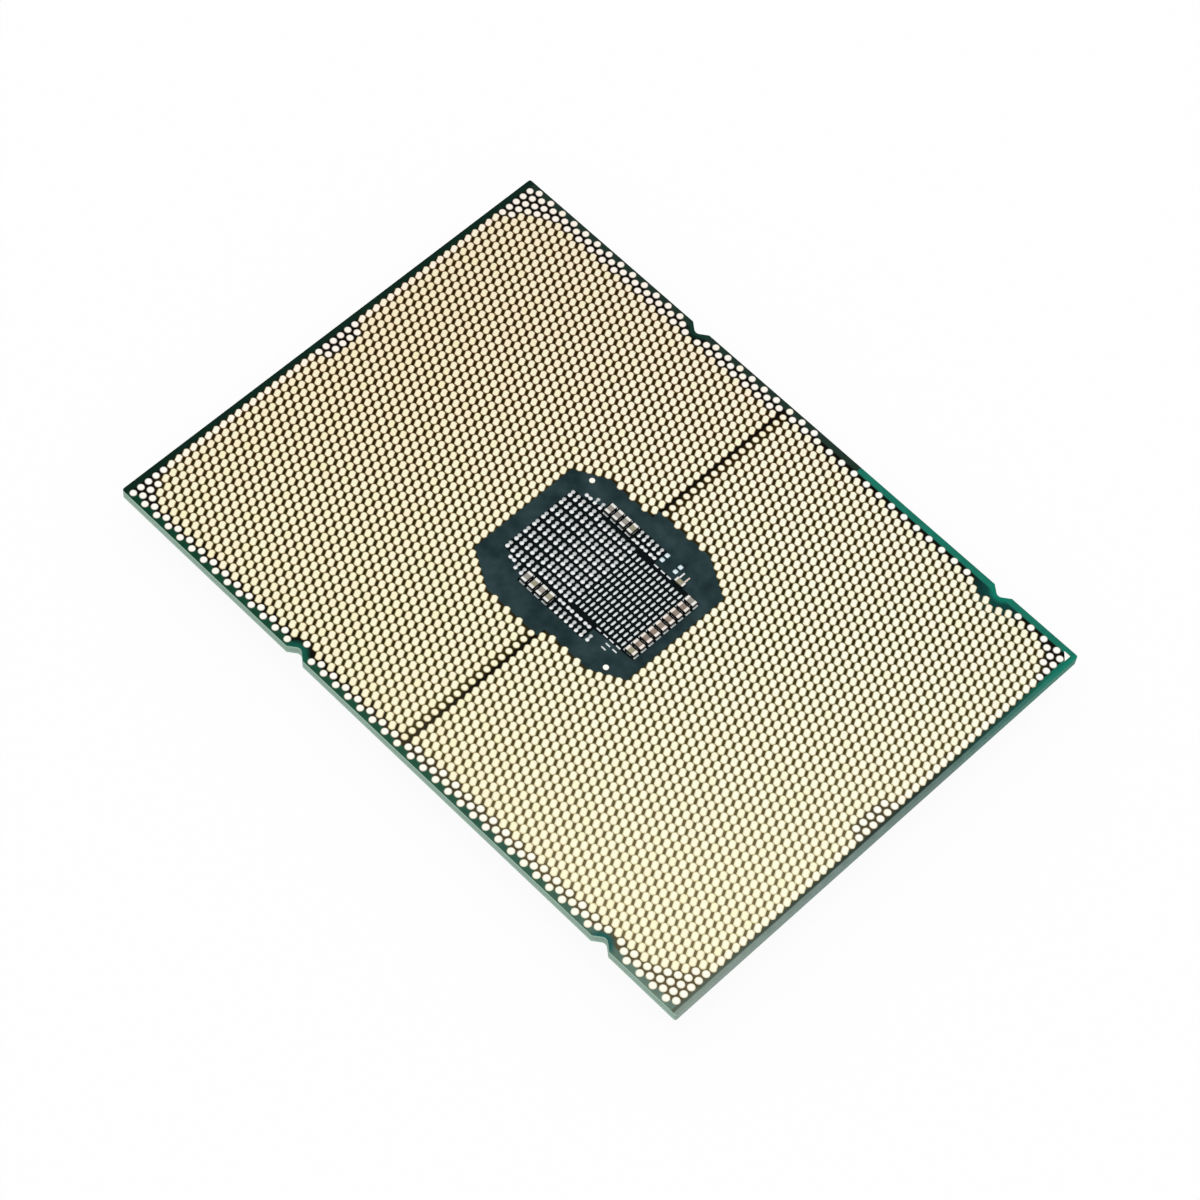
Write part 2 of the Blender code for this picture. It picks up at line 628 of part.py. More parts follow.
def pad_blocks():
    ribbed_block(
        "left_pad_block", PIECES_LEFT, PIECES_CENTRE_Y,
        LEFT_BLOCK_COLUMNS, LEFT_PAD_WIDTH, LEFT_PAD_PITCH, LEFT_BLOCK_WIDTH,
    )
    ribbed_block(
        "middle_pad_block", MIDDLE_BLOCK_LEFT, PIECES_CENTRE_Y,
        MIDDLE_BLOCK_COLUMNS, MIDDLE_PAD_WIDTH, MIDDLE_PAD_PITCH, MIDDLE_BLOCK_WIDTH,
    )
    ribbed_block(
        "right_pad_block", RIGHT_BLOCK_LEFT, PIECES_CENTRE_Y - RIGHT_BLOCK_DROP,
        RIGHT_BLOCK_COLUMNS, RIGHT_PAD_WIDTH, RIGHT_PAD_PITCH, RIGHT_BLOCK_WIDTH,
    )
    ribbed_block(
        "upper_pad_group", GROUP_LEFT, UPPER_GROUP_Y,
        UPPER_GROUP_COLUMNS, GROUP_PAD_WIDTH, GROUP_PAD_PITCH, GROUP_LENGTH,
    )
    ribbed_block(
        "lower_pad_group", GROUP_LEFT, LOWER_GROUP_Y,
        LOWER_GROUP_COLUMNS, GROUP_PAD_WIDTH, GROUP_PAD_PITCH, GROUP_LENGTH,
    )


def test_pads():
    """Pairs of square pads in the upper row, next to the upper pad group."""
    half = TEST_PAD_SIZE / 2
    offset = half + TEST_PAD_GAP / 2
    middle = UPPER_GROUP_Y + TEST_PAD_RISE
    number = 0
    for pair in range(TEST_PAD_PAIRS):
        x = TEST_PAD_X + pair * TEST_PAD_PITCH
        for y in (middle + offset, middle - offset):
            number += 1
            outline = rectangle(x - half, x + half, y - half, y + half)
            plate(f"test_pad_{number}", outline, LAND_FACE, LAND_FACE + PAD_THICKNESS, SOLDER)


def corner_chip():
    """A small chip whose two leads point away from the right pad block."""
    left = CHIP_LEFT
    right = CHIP_LEFT + CHIP_LENGTH
    front = PIECES_CENTRE_Y - RIGHT_BLOCK_DROP + RIGHT_BLOCK_WIDTH / 2 + CHIP_SIDE_SPACING
    back = front + CHIP_WIDTH
    tip = back + LEAD_LENGTH
    left_lead = left + LEAD_INSET
    right_lead = right - CHIP_OVERHANG
    outline = [
        (left, front), (right, front), (right, back),
        (right_lead, back), (right_lead, tip), (right_lead - LEAD_WIDTH, tip),
        (right_lead - LEAD_WIDTH, back), (left_lead + LEAD_WIDTH, back),
        (left_lead + LEAD_WIDTH, tip), (left_lead, tip), (left_lead, back), (left, back),
    ]
    plate("corner_chip", outline, LAND_FACE, LAND_FACE + CHIP_HEIGHT, CERAMIC)


def capacitor(name, centre_x, centre_y, along_x):
    """A ceramic block with a slightly wider termination at each end."""
    end = CAPACITOR_LENGTH / 2
    shoulder = end - TERMINATION_LENGTH
    wide = CAPACITOR_WIDTH / 2
    narrow = wide - TERMINATION_STEP
    half = [
        (-wide, -end), (wide, -end), (wide, -shoulder),
        (narrow, -shoulder), (narrow, shoulder), (wide, shoulder),
    ]
    outline = half + [(-x, -y) for x, y in half]
    if along_x:
        outline = [(-y, x) for x, y in outline]
    placed = [(centre_x + x, centre_y + y) for x, y in outline]
    plate(name, placed, LAND_FACE, LAND_FACE + CAPACITOR_HEIGHT, CERAMIC)


def capacitors():
    for number in range(ROW_CAPACITORS):
        x = ROW_FIRST_X + number * CAPACITOR_PITCH
        capacitor(f"upper_capacitor_{number + 1}", x, UPPER_ROW_Y, False)
        capacitor(f"lower_capacitor_{number + 1}", x, LOWER_ROW_Y, False)
    middle = PIECES_CENTRE_Y + COLUMN_CAPACITOR_RISE
    first_y = middle + (COLUMN_CAPACITORS - 1) * CAPACITOR_PITCH / 2
    for number in range(COLUMN_CAPACITORS):
        y = first_y - number * CAPACITOR_PITCH
        capacitor(f"side_capacitor_{number + 1}", COLUMN_CAPACITOR_X, y, True)


clear_scene()
PARTS = make_collection("processor_package")
CUTTERS = make_collection("cutters")
heat_spreader()
lid_sealant()
die_stack()
substrate()
land_field("left_land_field", 1.0)
land_field("right_land_field", -1.0)
pin_one_mark()
lone_lands()
pad_blocks()
test_pads()
corner_chip()
capacitors()
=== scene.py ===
"""Looks of the land-grid-array processor package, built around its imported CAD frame.

The lands, pads, capacitors, chip and lid are made here as meshes, each where its CAD node is, and the
layers of the substrate keep their CAD shape. Sizes and places are in millimetres, in the frame of the
CAD. Colours in whole numbers are screen values up to 255, and the others are linear light up to 1.
"""

import math

import bpy
from mathutils import Color, Matrix, Vector
from mathutils.bvhtree import BVHTree


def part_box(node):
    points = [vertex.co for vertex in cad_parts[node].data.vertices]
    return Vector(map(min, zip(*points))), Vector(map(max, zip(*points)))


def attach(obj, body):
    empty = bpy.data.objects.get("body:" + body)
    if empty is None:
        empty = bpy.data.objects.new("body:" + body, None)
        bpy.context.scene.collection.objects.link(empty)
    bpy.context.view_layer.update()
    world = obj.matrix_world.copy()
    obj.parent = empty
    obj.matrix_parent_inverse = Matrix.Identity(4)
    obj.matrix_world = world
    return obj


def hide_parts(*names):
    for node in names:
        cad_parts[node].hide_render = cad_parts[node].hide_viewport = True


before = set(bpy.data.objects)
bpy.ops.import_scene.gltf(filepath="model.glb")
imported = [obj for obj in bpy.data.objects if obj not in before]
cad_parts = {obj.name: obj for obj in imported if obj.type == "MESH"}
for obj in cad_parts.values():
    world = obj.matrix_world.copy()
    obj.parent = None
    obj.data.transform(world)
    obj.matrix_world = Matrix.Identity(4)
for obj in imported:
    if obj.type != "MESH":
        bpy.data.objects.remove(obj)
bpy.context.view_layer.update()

MM = 0.001

# Heights and half sizes of the package, from the frame
LAND_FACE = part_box("land_side_mask")[1].z / MM
HALF_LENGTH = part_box("land_side_mask")[1].x / MM
HALF_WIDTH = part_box("land_side_mask")[1].y / MM
LAND_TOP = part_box("left_land_field")[1].z / MM

# Camera: where it looks on the land plane, and from where
CAMERA_AIM = (2.29, -2.13, 4.70)
CAMERA_DISTANCE = 392.46
CAMERA_AZIMUTH = math.radians(38.33)
CAMERA_ELEVATION = math.radians(59.73)
CAMERA_ROLL = math.radians(7.99)
CAMERA_LENS = 119.7
SENSOR_WIDTH = 36.0
NEAREST_SEEN = 10.0

# Light: an even pale room, with one large softbox high behind the package
ROOM_LIGHT = 0.85
KEY_PLACE = (-80.0, 120.0, 650.0)
KEY_SIZE = 700.0
KEY_POWER = 0.6

# Floor: plain and pale, lifted towards white where it is seen
FLOOR_SIZE = 6000.0
FLOOR_COLOUR = 0.97
FLOOR_LIFT = 0.93
FLOOR_ROUGHNESS = 0.9

# Land lattice: a hexagonal grid in two fields, the right one being the left one turned half round
LAND_PITCH = 0.998
COLUMN_PITCH = LAND_PITCH * math.sqrt(3) / 2
SEAM_GAP = 0.17
COLUMNS = 88
ROWS = 56
ROW_STAGGER = 0.5
RIB_TOLERANCE = 0.01
RAY_START = 1.0

# Oblong lands: the direction of each side in degrees and its reach, both repeated half a turn on
LAND_SIDES = ((28.0, 0.356), (90.0, 0.491), (118.0, 0.517), (150.0, 0.498))
LAND_CORNER = 0.11
LAND_CORNER_STEPS = 1
LAND_SMOOTHING = math.radians(12.0)
LAND_EDGE = 0.1
LAND_CROWN = 0.004

# Round lands and the pin one mark
ROUND_LAND = 0.82
SEAM_LAND = 0.77
LONE_LAND = 0.66
ROUND_POWER = 2.0
ROUND_SIDES = 18
MARK_EDGE = 0.03

# Round places of the left field, in rows from the back edge and columns from the left end
BACK_ROW = 0.5
BACK_CORNER_ROW = 4.4
BACK_CORNER_SLOPE = 0.8
FRONT_ROW = 54.5
FRONT_CORNER_COLUMNS = 3
FRONT_CORNER_ROW = 51.0
FRONT_CORNER_SLOPE = 1.5
END_MIDDLE_ROWS = ((25.0, 30.0), (25.5, 29.5))
SEAM_END_ROW = 1.0
ROUND_NEAR_NOTCH = 2.0

# Notches along the front and back edge
LEFT_NOTCH_FROM_LEFT_END = 25.2
RIGHT_NOTCH_FROM_RIGHT_END = 10.05
LEFT_NOTCH_X = LEFT_NOTCH_FROM_LEFT_END - HALF_LENGTH
RIGHT_NOTCH_X = HALF_LENGTH - RIGHT_NOTCH_FROM_RIGHT_END

# Component area outline: one half, the other is the same turned half round, and the dark bed in it, which
# under the capacitors is painted shade
AREA_HALF = (
    (10.455, 6.99),
    (6.135, 9.48),
    (-0.95, 9.48),
    (-0.95, 8.48),
    (-7.0, 8.48),
    (-10.455, 6.49),
)
AREA_PLATE = 0.006
BARE_GROUND = LAND_FACE + AREA_PLATE
BED_OUTLINE = (
    (-8.6, -4.8),
    (-7.2, -4.9),
    (-6.5, -5.3),
    (-4.95, -5.6),
    (-4.95, -6.55),
    (4.2, -6.5),
    (4.2, -4.9),
    (9.3, -4.5),
    (9.3, 4.8),
    (2.9, 4.9),
    (2.9, 6.7),
    (-4.95, 6.7),
    (-4.95, 5.7),
    (-6.5, 5.4),
    (-7.2, 5.0),
    (-8.6, 4.95),
)
BED_HEIGHT = 0.004

# Bare pads of the blocks
PAD_BORDER = 0.05
PAD_SIDES = 12
PAD_EDGE = 0.03
PAD_POWER = 2.6
SQUARE_POWER = 5.0
LEFT_BLOCK = (6, 8)
MIDDLE_BLOCK = (7, 8)
RIGHT_BLOCK = (12, 10)
FOOTPRINT_WIDTH = 0.44
FOOTPRINT_LENGTH = 0.97
BLOCK_LOBE = 0.47
BACK_LOBE_SHARE = 0.94
LOBE_SPACING = 0.5
LOBE_SLANT = 0.02
WAIST_WIDTH = 0.25
WAIST_DROP = 0.008
DASH_WIDTH = 0.29
DASH_LENGTH = 0.68
TEST_PADS = 4

# Pads of the two groups: upright places on the far side, sideways ones on the side of the blocks
UPPER_COLUMNS = 5
LOWER_COLUMNS = 7
GROUP_LOBE = 0.43
GROUP_SPACING = 0.54
GROUP_INSET = 0.2
SIDEWAYS_PITCH = 1.19
SIDEWAYS_INSET = 0.44

# Loose places and dashes round the blocks, by their centres
LOOSE_UPRIGHT = ((-6.04, 5.65), (-5.27, 5.62), (-6.02, -5.41), (-5.21, -5.44), (4.59, -5.91))
LOOSE_SIDEWAYS = ((-6.94, 5.44), (-6.96, -5.17))
LOOSE_DASHES = (
    (3.30, 4.73), (4.22, 4.73), (5.06, 4.73),
    (4.58, -4.56), (5.52, -4.56), (6.35, -4.56), (7.27, -4.56),
    (6.40, -5.11), (7.32, -5.11), (6.37, -5.69),
)
LOOSE_DASH = (0.7, 0.19)

# Capacitors and the chip
END_LENGTH = 0.37
BODY_DROP = 0.02
BLOCK_CORNER = 0.07
BLOCK_EDGE = 0.06
EDGE_EASE = 0.3
CORNER_STEPS = 3
FOOT_REACH = 0.16
FOOT_HEIGHT = 0.03
ROW_CAPACITORS = 4
SIDE_CAPACITORS = 9
PALE_CAPACITORS = ("side_capacitor_1",)
OLIVE_CAPACITORS = ("upper_capacitor_4", "lower_capacitor_2", "lower_capacitor_4", "side_capacitor_9")
CHIP_WIDTH = 0.6
CHIP_END = 0.3
LEAD_WIDTH = 0.2
LEAD_HEIGHT = 0.08
LEFT_LEAD_INSET = 0.06
RIGHT_LEAD_INSET = 0.22

# Lid
LID_CORNER = 1.5
PLATEAU_END_STEP = 5.5
PLATEAU_SIDE_STEP = 3.0
PLATEAU_HEIGHT = 1.55
CAVITY_ROOF = 2.25
LID_FOOT_WIDTH = 5.0
LID_EDGE = 0.25
LID_CORNER_STEPS = 8

# Rim of bare mask round the land fields
RIM_WIDTH = 0.72
RIM_OUTER_WIDTH = 0.36
RIM_NOTCH_REACH = 1.3
WIDE_NOTCH_REACH = 2.7
WIDE_NOTCH_SOFTNESS = 0.9
NOTCH_SOFTNESS = 0.3
TEAL_FROM_X = 9.15
RIM_SOFTNESS = 0.06

# Darkest ground: bands along the edges, circles round the groups of round lands, and the seam
SIDE_BAND = 2.0
END_BAND = 1.3
BAND_SOFTNESS = 0.3
SEAM_BAND = (0.6, 1.12)
SEAM_SOFTNESS = 0.12
DARK_CIRCLES = (
    (-HALF_LENGTH, HALF_WIDTH, 4.6),
    (HALF_LENGTH, -HALF_WIDTH, 4.6),
    (-HALF_LENGTH, -HALF_WIDTH, 3.4),
    (HALF_LENGTH, HALF_WIDTH, 3.4),
    (-HALF_LENGTH, 0.0, 2.8),
    (HALF_LENGTH, 0.0, 2.8),
)

# Smooth shading, and the noise that mottles every material
SMOOTHING = math.radians(50.0)
EVEN = (1.0, 1.0, 1.0)
BRUSHED = (1.0, 12.0, 1.0)
NOISE_DETAIL = 4.0
MOTTLE_STOPS = (0.3, 0.7)
BUMP_STRENGTH = 0.3

# Numbers of the colour sockets on a mix node
MIX_FIRST_COLOUR = 6
MIX_SECOND_COLOUR = 7
MIX_RESULT_COLOUR = 2

# Flanks, darkened with painted shade: how far a face looks up where they begin and end, and their
# brightness on small blocks
FLANK_LEVELS = (0.84, 0.98)
END_FLANK = 0.1
BODY_FLANK = 0.12

# Roughness of the smoothest and the roughest spots
POLISHED = (0.1, 0.2)
SHINY = (0.25, 0.4)
SMOOTH = (0.3, 0.4)
BRIGHT = (0.3, 0.45)
SATIN = (0.35, 0.5)
DULL = (0.4, 0.6)
MATTE = (0.5, 0.7)

# Plain metals and resins
METAL_BUMP = 0.01
RESIN_SPECULAR = 0.3
RESIN_BUMP = 0.01
BLOTCH_TO_GRAIN = 3

# Gold: its own tone with a painted light gradient along the way to the back corner, each stop a place and a
# screen colour
TOWARDS_BACK_CORNER = (0.75, 0.66)
GOLD_TONES = ((-20.0, (239, 234, 204)), (2.0, (240, 238, 215)), (28.0, (240, 239, 219)))
ROUND_GOLD_TONES = ((-20.0, (246, 243, 234)), (28.0, (245, 244, 237)))
GOLD_GRAIN = 0.1
GOLD_GRAIN_STRETCH = (1.0, 3.0, 1.0)
GOLD_GLOSS = (0.3, 0.42)
GOLD_BUMP = 0.004

# Feet of the lands, darkened with painted shade that lightens along the way to the front corner, and
# painted light tinting the gold along that way
TOWARDS_FRONT_CORNER = (0.738, -0.675)
FOOT_TONES = ((-20.0, (138, 104, 52)), (8.0, (184, 168, 126)), (34.0, (252, 241, 216)))
FOOT_BAND = 0.3
ROUND_FOOT_TONES = (
    (-20.0, (60, 52, 38)),
    (8.0, (90, 82, 62)),
    (20.0, (150, 138, 112)),
    (34.0, (246, 240, 224)),
)
ROUND_FOOT_BAND = 0.0
# Painted light: a tint of the gold that changes towards the front corner.
FRONT_PAINTED_LIGHT = (
    (-30.0, (255, 249, 246)),
    (-8.0, (255, 255, 255)),
    (10.0, (255, 255, 255)),
    (34.0, (255, 255, 247)),
)

# Paler gold along both ends, and tints of single lands by a chance from 0 to 1
PALE_GOLD = (246, 243, 236)
PALE_END = 1.45
PALE_SHARE = 0.6
LAND_TINTS = (
    (0.0, (1.0, 0.96, 0.94)),
    (0.25, (1.0, 1.0, 1.0)),
    (0.75, (1.0, 1.0, 1.0)),
    (1.0, (0.985, 0.985, 0.89)),
)

# Mask between the lands: its own dark tone, paler along the way to the front corner with a painted
# highlight
GROUND_TONES = ((-20.0, (44, 33, 8)), (8.0, (48, 42, 18)), (20.0, (82, 72, 40)), (34.0, (124, 112, 80)))
DARK_GROUND_TONES = ((-20.0, (12, 10, 7)), (12.0, (20, 17, 11)), (34.0, (100, 90, 64)))
MASK_BLOTCH = 1.0
MASK_SHADES = (0.8, 1.0)
MASK_GLOSS = (0.35, 0.5)
MASK_SPECULAR = 0.02
MASK_GRAIN = 0.25
MASK_BUMP = 0.006

# Rim tones: along X in front, along Y at the right end, and even elsewhere and at the notches; the front
# and right rims get paler towards the front corner with a painted highlight, and the inner strip at the
# right end is darker with painted shade beside the lands
FRONT_RIM = ((-36.0, (14, 64, 43)), (0.0, (38, 86, 66)), (20.0, (62, 100, 84)), (37.0, (116, 139, 125)))
RIGHT_RIM = (
    (-27.0, (144, 161, 150)),
    (-8.0, (128, 147, 140)),
    (8.0, (104, 129, 122)),
    (20.0, (64, 120, 109)),
    (26.0, (26, 132, 110)),
)
RIGHT_RIM_INNER = (
    (-27.0, (98, 108, 94)),
    (-8.0, (62, 73, 63)),
    (8.0, (40, 55, 48)),
    (20.0, (34, 78, 69)),
    (26.0, (24, 118, 98)),
)
LEFT_RIM = (15, 42, 32)
BACK_RIM = (36, 56, 47)
BACK_RIM_TEAL = (30, 122, 102)
BACK_NOTCH = (20, 58, 46)
WIDE_NOTCH = (18, 70, 66)
BACK_NOTCH_TEAL = (18, 130, 106)
FRONT_NOTCH = (22, 92, 76)
FRONT_NOTCH_TEAL = (42, 98, 92)

# Cut edges of the laminate, with painted light along Y at the right end, paler towards the front
RIGHT_WALL_PAINTED_LIGHT = (
    (-27.0, (148, 166, 155)),
    (-8.0, (124, 147, 139)),
    (8.0, (104, 130, 122)),
    (26.0, (50, 128, 110)),
)
WALL_SKIN = 0.05
LAYER_STRETCH = (0.1, 0.1, 1.0)
STREAK_SHADES = (0.88, 1.0)
EDGE_GLOSS = (0.55, 0.75)
EDGE_SPECULAR = 0.2
EDGE_BUMP = 0.01


def node_box(name):
    """Lowest and highest corner of a CAD node, in millimetres."""
    low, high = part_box(name)
    return low / MM, high / MM


# Shapes


class Shape:
    """Points and faces of one piece, gathered before its mesh is made."""

    def __init__(self):
        self.points = []
        self.faces = []

    def add_loft(self, rings, crown=None):
        """A closed body through rings of equal length, with an optional raised point in its last cap."""
        count = len(rings[0])
        start = len(self.points)
        for ring in rings:
            self.points.extend(ring)
        for level in range(len(rings) - 1):
            low = start + level * count
            for i in range(count):
                j = (i + 1) % count
                self.faces.append((low + i, low + j, low + count + j, low + count + i))
        self.faces.append(tuple(start + i for i in reversed(range(count))))
        last = start + (len(rings) - 1) * count
        if crown is None:
            self.faces.append(tuple(last + i for i in range(count)))
            return
        self.points.append(crown)
        tip = len(self.points) - 1
        for i in range(count):
            self.faces.append((last + i, last + (i + 1) % count, tip))


def oval(length, width, power, sides):
    """An outline between an ellipse (power 2) and a rectangle (high power)."""
    points = []
    for step in range(sides):
        angle = 2 * math.pi * (step + 0.5) / sides
        across = abs(2 * math.cos(angle) / length) ** power
        along = abs(2 * math.sin(angle) / width) ** power
        distance = (across + along) ** (-1 / power)
        points.append((distance * math.cos(angle), distance * math.sin(angle)))
    return points


def rounded_polygon(sides, radius, steps):
    """A polygon from the direction and reach of each side, in turning order, with rounded corners."""
    points = []
    for (first, first_reach), (second, second_reach) in zip(sides, [*sides[1:], sides[0]]):
        turn = (second - first) % (2 * math.pi)
        first_inset = first_reach - radius
        second_inset = second_reach - radius
        centre_x = (first_inset * math.sin(second) - second_inset * math.sin(first)) / math.sin(turn)
        centre_y = (second_inset * math.cos(first) - first_inset * math.cos(second)) / math.sin(turn)
        for step in range(steps + 1):
            angle = first + turn * step / steps
            points.append((centre_x + radius * math.cos(angle), centre_y + radius * math.sin(angle)))
    return points


def rounded_rectangle(half_length, half_width, radius, steps):
    """A rectangle with rounded corners; each corner has its sides and the half turns where it starts."""
    points = []
    corners = ((1, 1, 0.0), (-1, 1, 0.5), (-1, -1, 1.0), (1, -1, 1.5))
    for side_x, side_y, start in corners:
        for step in range(steps + 1):
            angle = math.pi * (start + 0.5 * step / steps)
            x = side_x * (half_length - radius) + radius * math.cos(angle)
            y = side_y * (half_width - radius) + radius * math.sin(angle)
            points.append((x, y))
    return points


def placed(outline, centre, height):
    """An outline moved to a centre and lifted to a height."""
    return [(centre[0] + x, centre[1] + y, height) for x, y in outline]


def add_pad(shape, centre, size, top, power=PAD_POWER):
    """A low pad with a sloped edge and a slightly raised middle."""
    wide = oval(*size, power, PAD_SIDES)
    narrow = oval(size[0] - 2 * PAD_EDGE, size[1] - 2 * PAD_EDGE, power, PAD_SIDES)
    rings = [placed(wide, centre, LAND_FACE), placed(narrow, centre, top - LAND_CROWN)]
    shape.add_loft(rings, (centre[0], centre[1], top))


def add_block(shape, low_corner, high_corner, bottom, top, edge=BLOCK_EDGE):
    """An upright block with rounded corners and an eased top edge."""
    centre = ((low_corner[0] + high_corner[0]) / 2, (low_corner[1] + high_corner[1]) / 2)
    half_x = (high_corner[0] - low_corner[0]) / 2
    half_y = (high_corner[1] - low_corner[1]) / 2
    levels = ((0.0, bottom), (0.0, top - edge), (EDGE_EASE * edge, top - EDGE_EASE * edge), (edge, top))
    rings = []
    for inset, height in levels:
        outline = rounded_rectangle(half_x - inset, half_y - inset, BLOCK_CORNER - inset, CORNER_STEPS)
        rings.append(placed(outline, centre, height))
    shape.add_loft(rings)


def make_piece(name, shape, material, replaced=(), smooth_angle=SMOOTHING):
    """One mesh object from a shape, riding on the part's only body."""
    mesh = bpy.data.meshes.new(name)
    points = [Vector(point) * MM for point in shape.points]
    mesh.from_pydata(points, [], shape.faces)
    mesh.validate()
    mesh.shade_smooth()
    mesh.set_sharp_from_angle(angle=smooth_angle)
    mesh.materials.append(material)
    piece = bpy.data.objects.new(name, mesh)
    bpy.context.scene.collection.objects.link(piece)
    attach(piece, "root")
    if replaced:
        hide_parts(*replaced)


# Material helpers


def screen(red, green, blue):
    """A colour in screen values from 0 to 255, as linear light."""
    return tuple(Color((red / 255, green / 255, blue / 255)).from_srgb_to_scene_linear())


def grey(value):
    return (value, value, value)


def new_material(name):
    """A node material with its tree and its shader."""
    material = bpy.data.materials.new(name)
    material.use_nodes = True
    tree = material.node_tree
    return material, tree, tree.nodes["Principled BSDF"]


def add_node(tree, kind, **values):
    """A node with some of its inputs set by name."""
    node = tree.nodes.new(kind)
    for name, value in values.items():
        node.inputs[name.replace("_", " ")].default_value = value
    return node


def noise(tree, size, stretch=EVEN):
    """Noise in the part's frame, with blotches of about a size in millimetres."""
    place = tree.nodes.new("ShaderNodeTexCoord")
    mapping = add_node(tree, "ShaderNodeMapping", Scale=stretch)
    texture = add_node(tree, "ShaderNodeTexNoise", Scale=1 / (size * MM), Detail=NOISE_DETAIL)
    tree.links.new(place.outputs["Object"], mapping.inputs["Vector"])
    tree.links.new(mapping.outputs["Vector"], texture.inputs["Vector"])
    return texture.outputs["Fac"]


def ramp(tree, factor, stops):
    """A colour ramp with stops of place and colour."""
    node = tree.nodes.new("ShaderNodeValToRGB")
    elements = node.color_ramp.elements
    while len(elements) < len(stops):
        elements.new(0.5)
    for element, (place, colour) in zip(elements, stops):
        element.position = place
        element.color = (*colour, 1.0)
    tree.links.new(factor, node.inputs["Fac"])
    return node.outputs["Color"]


def mottle(tree, cloud, low, high):
    """Two tones that follow a noise."""
    first, last = MOTTLE_STOPS
    return ramp(tree, cloud, ((first, low), (last, high)))


def mix_colours(tree, factor, first, second, mode="MIX"):
    """Two colours mixed; the share and the colours are plain values or sockets."""
    node = tree.nodes.new("ShaderNodeMix")
    node.data_type = "RGBA"
    node.blend_type = mode
    sockets = (node.inputs["Factor"], node.inputs[MIX_FIRST_COLOUR], node.inputs[MIX_SECOND_COLOUR])
    for socket, value in zip(sockets, (factor, first, second)):
        if isinstance(value, tuple):
            socket.default_value = (*value, 1.0)
        elif isinstance(value, float):
            socket.default_value = value
        else:
            tree.links.new(value, socket)
    return node.outputs[MIX_RESULT_COLOUR]


def calculate(tree, operation, first, second=0.0, third=0.0):
    """The result of one sum on plain values or sockets."""
    node = tree.nodes.new("ShaderNodeMath")
    node.operation = operation
    for socket, value in zip(node.inputs, (first, second, third)):
        if isinstance(value, (int, float)):
            socket.default_value = value
        else:
            tree.links.new(value, socket)
    return node.outputs["Value"]


def position(tree):
    """X, Y and Z of a point in the part's frame, in metres."""
    place = tree.nodes.new("ShaderNodeTexCoord")
    split = tree.nodes.new("ShaderNodeSeparateXYZ")
    tree.links.new(place.outputs["Object"], split.inputs["Vector"])
    return split.outputs["X"], split.outputs["Y"], split.outputs["Z"]


def stretch_between(tree, coordinate, start, end):
    """How far a coordinate has gone from one place to another, from 0 to 1."""
    node = add_node(tree, "ShaderNodeMapRange", From_Min=start * MM, From_Max=end * MM)
    tree.links.new(coordinate, node.inputs["Value"])
    return node.outputs["Result"]


def slanted(tree, direction):
    """How far a point lies in a direction of the land plane, in metres."""
    x, y, _ = position(tree)
    return calculate(tree, "MULTIPLY_ADD", y, direction[1], calculate(tree, "MULTIPLY", x, direction[0]))


def past(tree, coordinate, limit, softness=RIM_SOFTNESS):
    """Nothing before a limit and one after it, with a soft step between."""
    return stretch_between(tree, coordinate, limit - softness, limit + softness)


def near(tree, x, y, centre, reach, softness):
    """One inside a circle round a place, and nothing outside it."""
    away_x = calculate(tree, "SUBTRACT", x, centre[0] * MM)
    away_y = calculate(tree, "SUBTRACT", y, centre[1] * MM)
    square_x = calculate(tree, "MULTIPLY", away_x, away_x)
    square = calculate(tree, "MULTIPLY_ADD", away_y, away_y, square_x)
    away = calculate(tree, "SQRT", square)
    return calculate(tree, "SUBTRACT", 1.0, past(tree, away, reach, softness))


def graded(tree, coordinate, stops):
    """Colours that follow a coordinate; each stop is a place and a screen colour."""
    first = stops[0][0]
    last = stops[-1][0]
    spread = [((place - first) / (last - first), screen(*colour)) for place, colour in stops]
    return ramp(tree, stretch_between(tree, coordinate, first, last), spread)


def shade_flanks(tree, colour, tone):
    """A deeper tone on sloping and upright faces, where the light from above comes less."""
    split = tree.nodes.new("ShaderNodeSeparateXYZ")
    geometry = tree.nodes.new("ShaderNodeNewGeometry")
    tree.links.new(geometry.outputs["True Normal"], split.inputs["Vector"])
    level = add_node(tree, "ShaderNodeMapRange", From_Min=FLANK_LEVELS[0], From_Max=FLANK_LEVELS[1])
    tree.links.new(split.outputs["Z"], level.inputs["Value"])
    deeper = mix_colours(tree, 1.0, colour, tone, "MULTIPLY")
    return mix_colours(tree, level.outputs["Result"], deeper, colour)


def paint_shade_on_feet(tree, colour, tone, band):
    """Painted shade on the foot of a land: full over a share of its sloping edge, and fading above."""
    _, _, z = position(tree)
    edge_top = LAND_TOP - LAND_CROWN
    band_top = LAND_FACE + band * (edge_top - LAND_FACE)
    risen = stretch_between(tree, z, band_top, edge_top)
    deeper = mix_colours(tree, 1.0, colour, tone, "MULTIPLY")
    return mix_colours(tree, risen, deeper, colour)


def set_gloss(tree, shader, cloud, gloss):
    """Roughness between two values, following a noise."""
    smoothest, roughest = gloss
    tree.links.new(mottle(tree, cloud, grey(smoothest), grey(roughest)), shader.inputs["Roughness"])


def add_bump(tree, shader, height, distance):
    """Fine relief of a depth in millimetres."""
    bump = add_node(tree, "ShaderNodeBump", Strength=BUMP_STRENGTH, Distance=distance * MM)
    tree.links.new(height, bump.inputs["Height"])
    tree.links.new(bump.outputs["Normal"], shader.inputs["Normal"])


# Materials


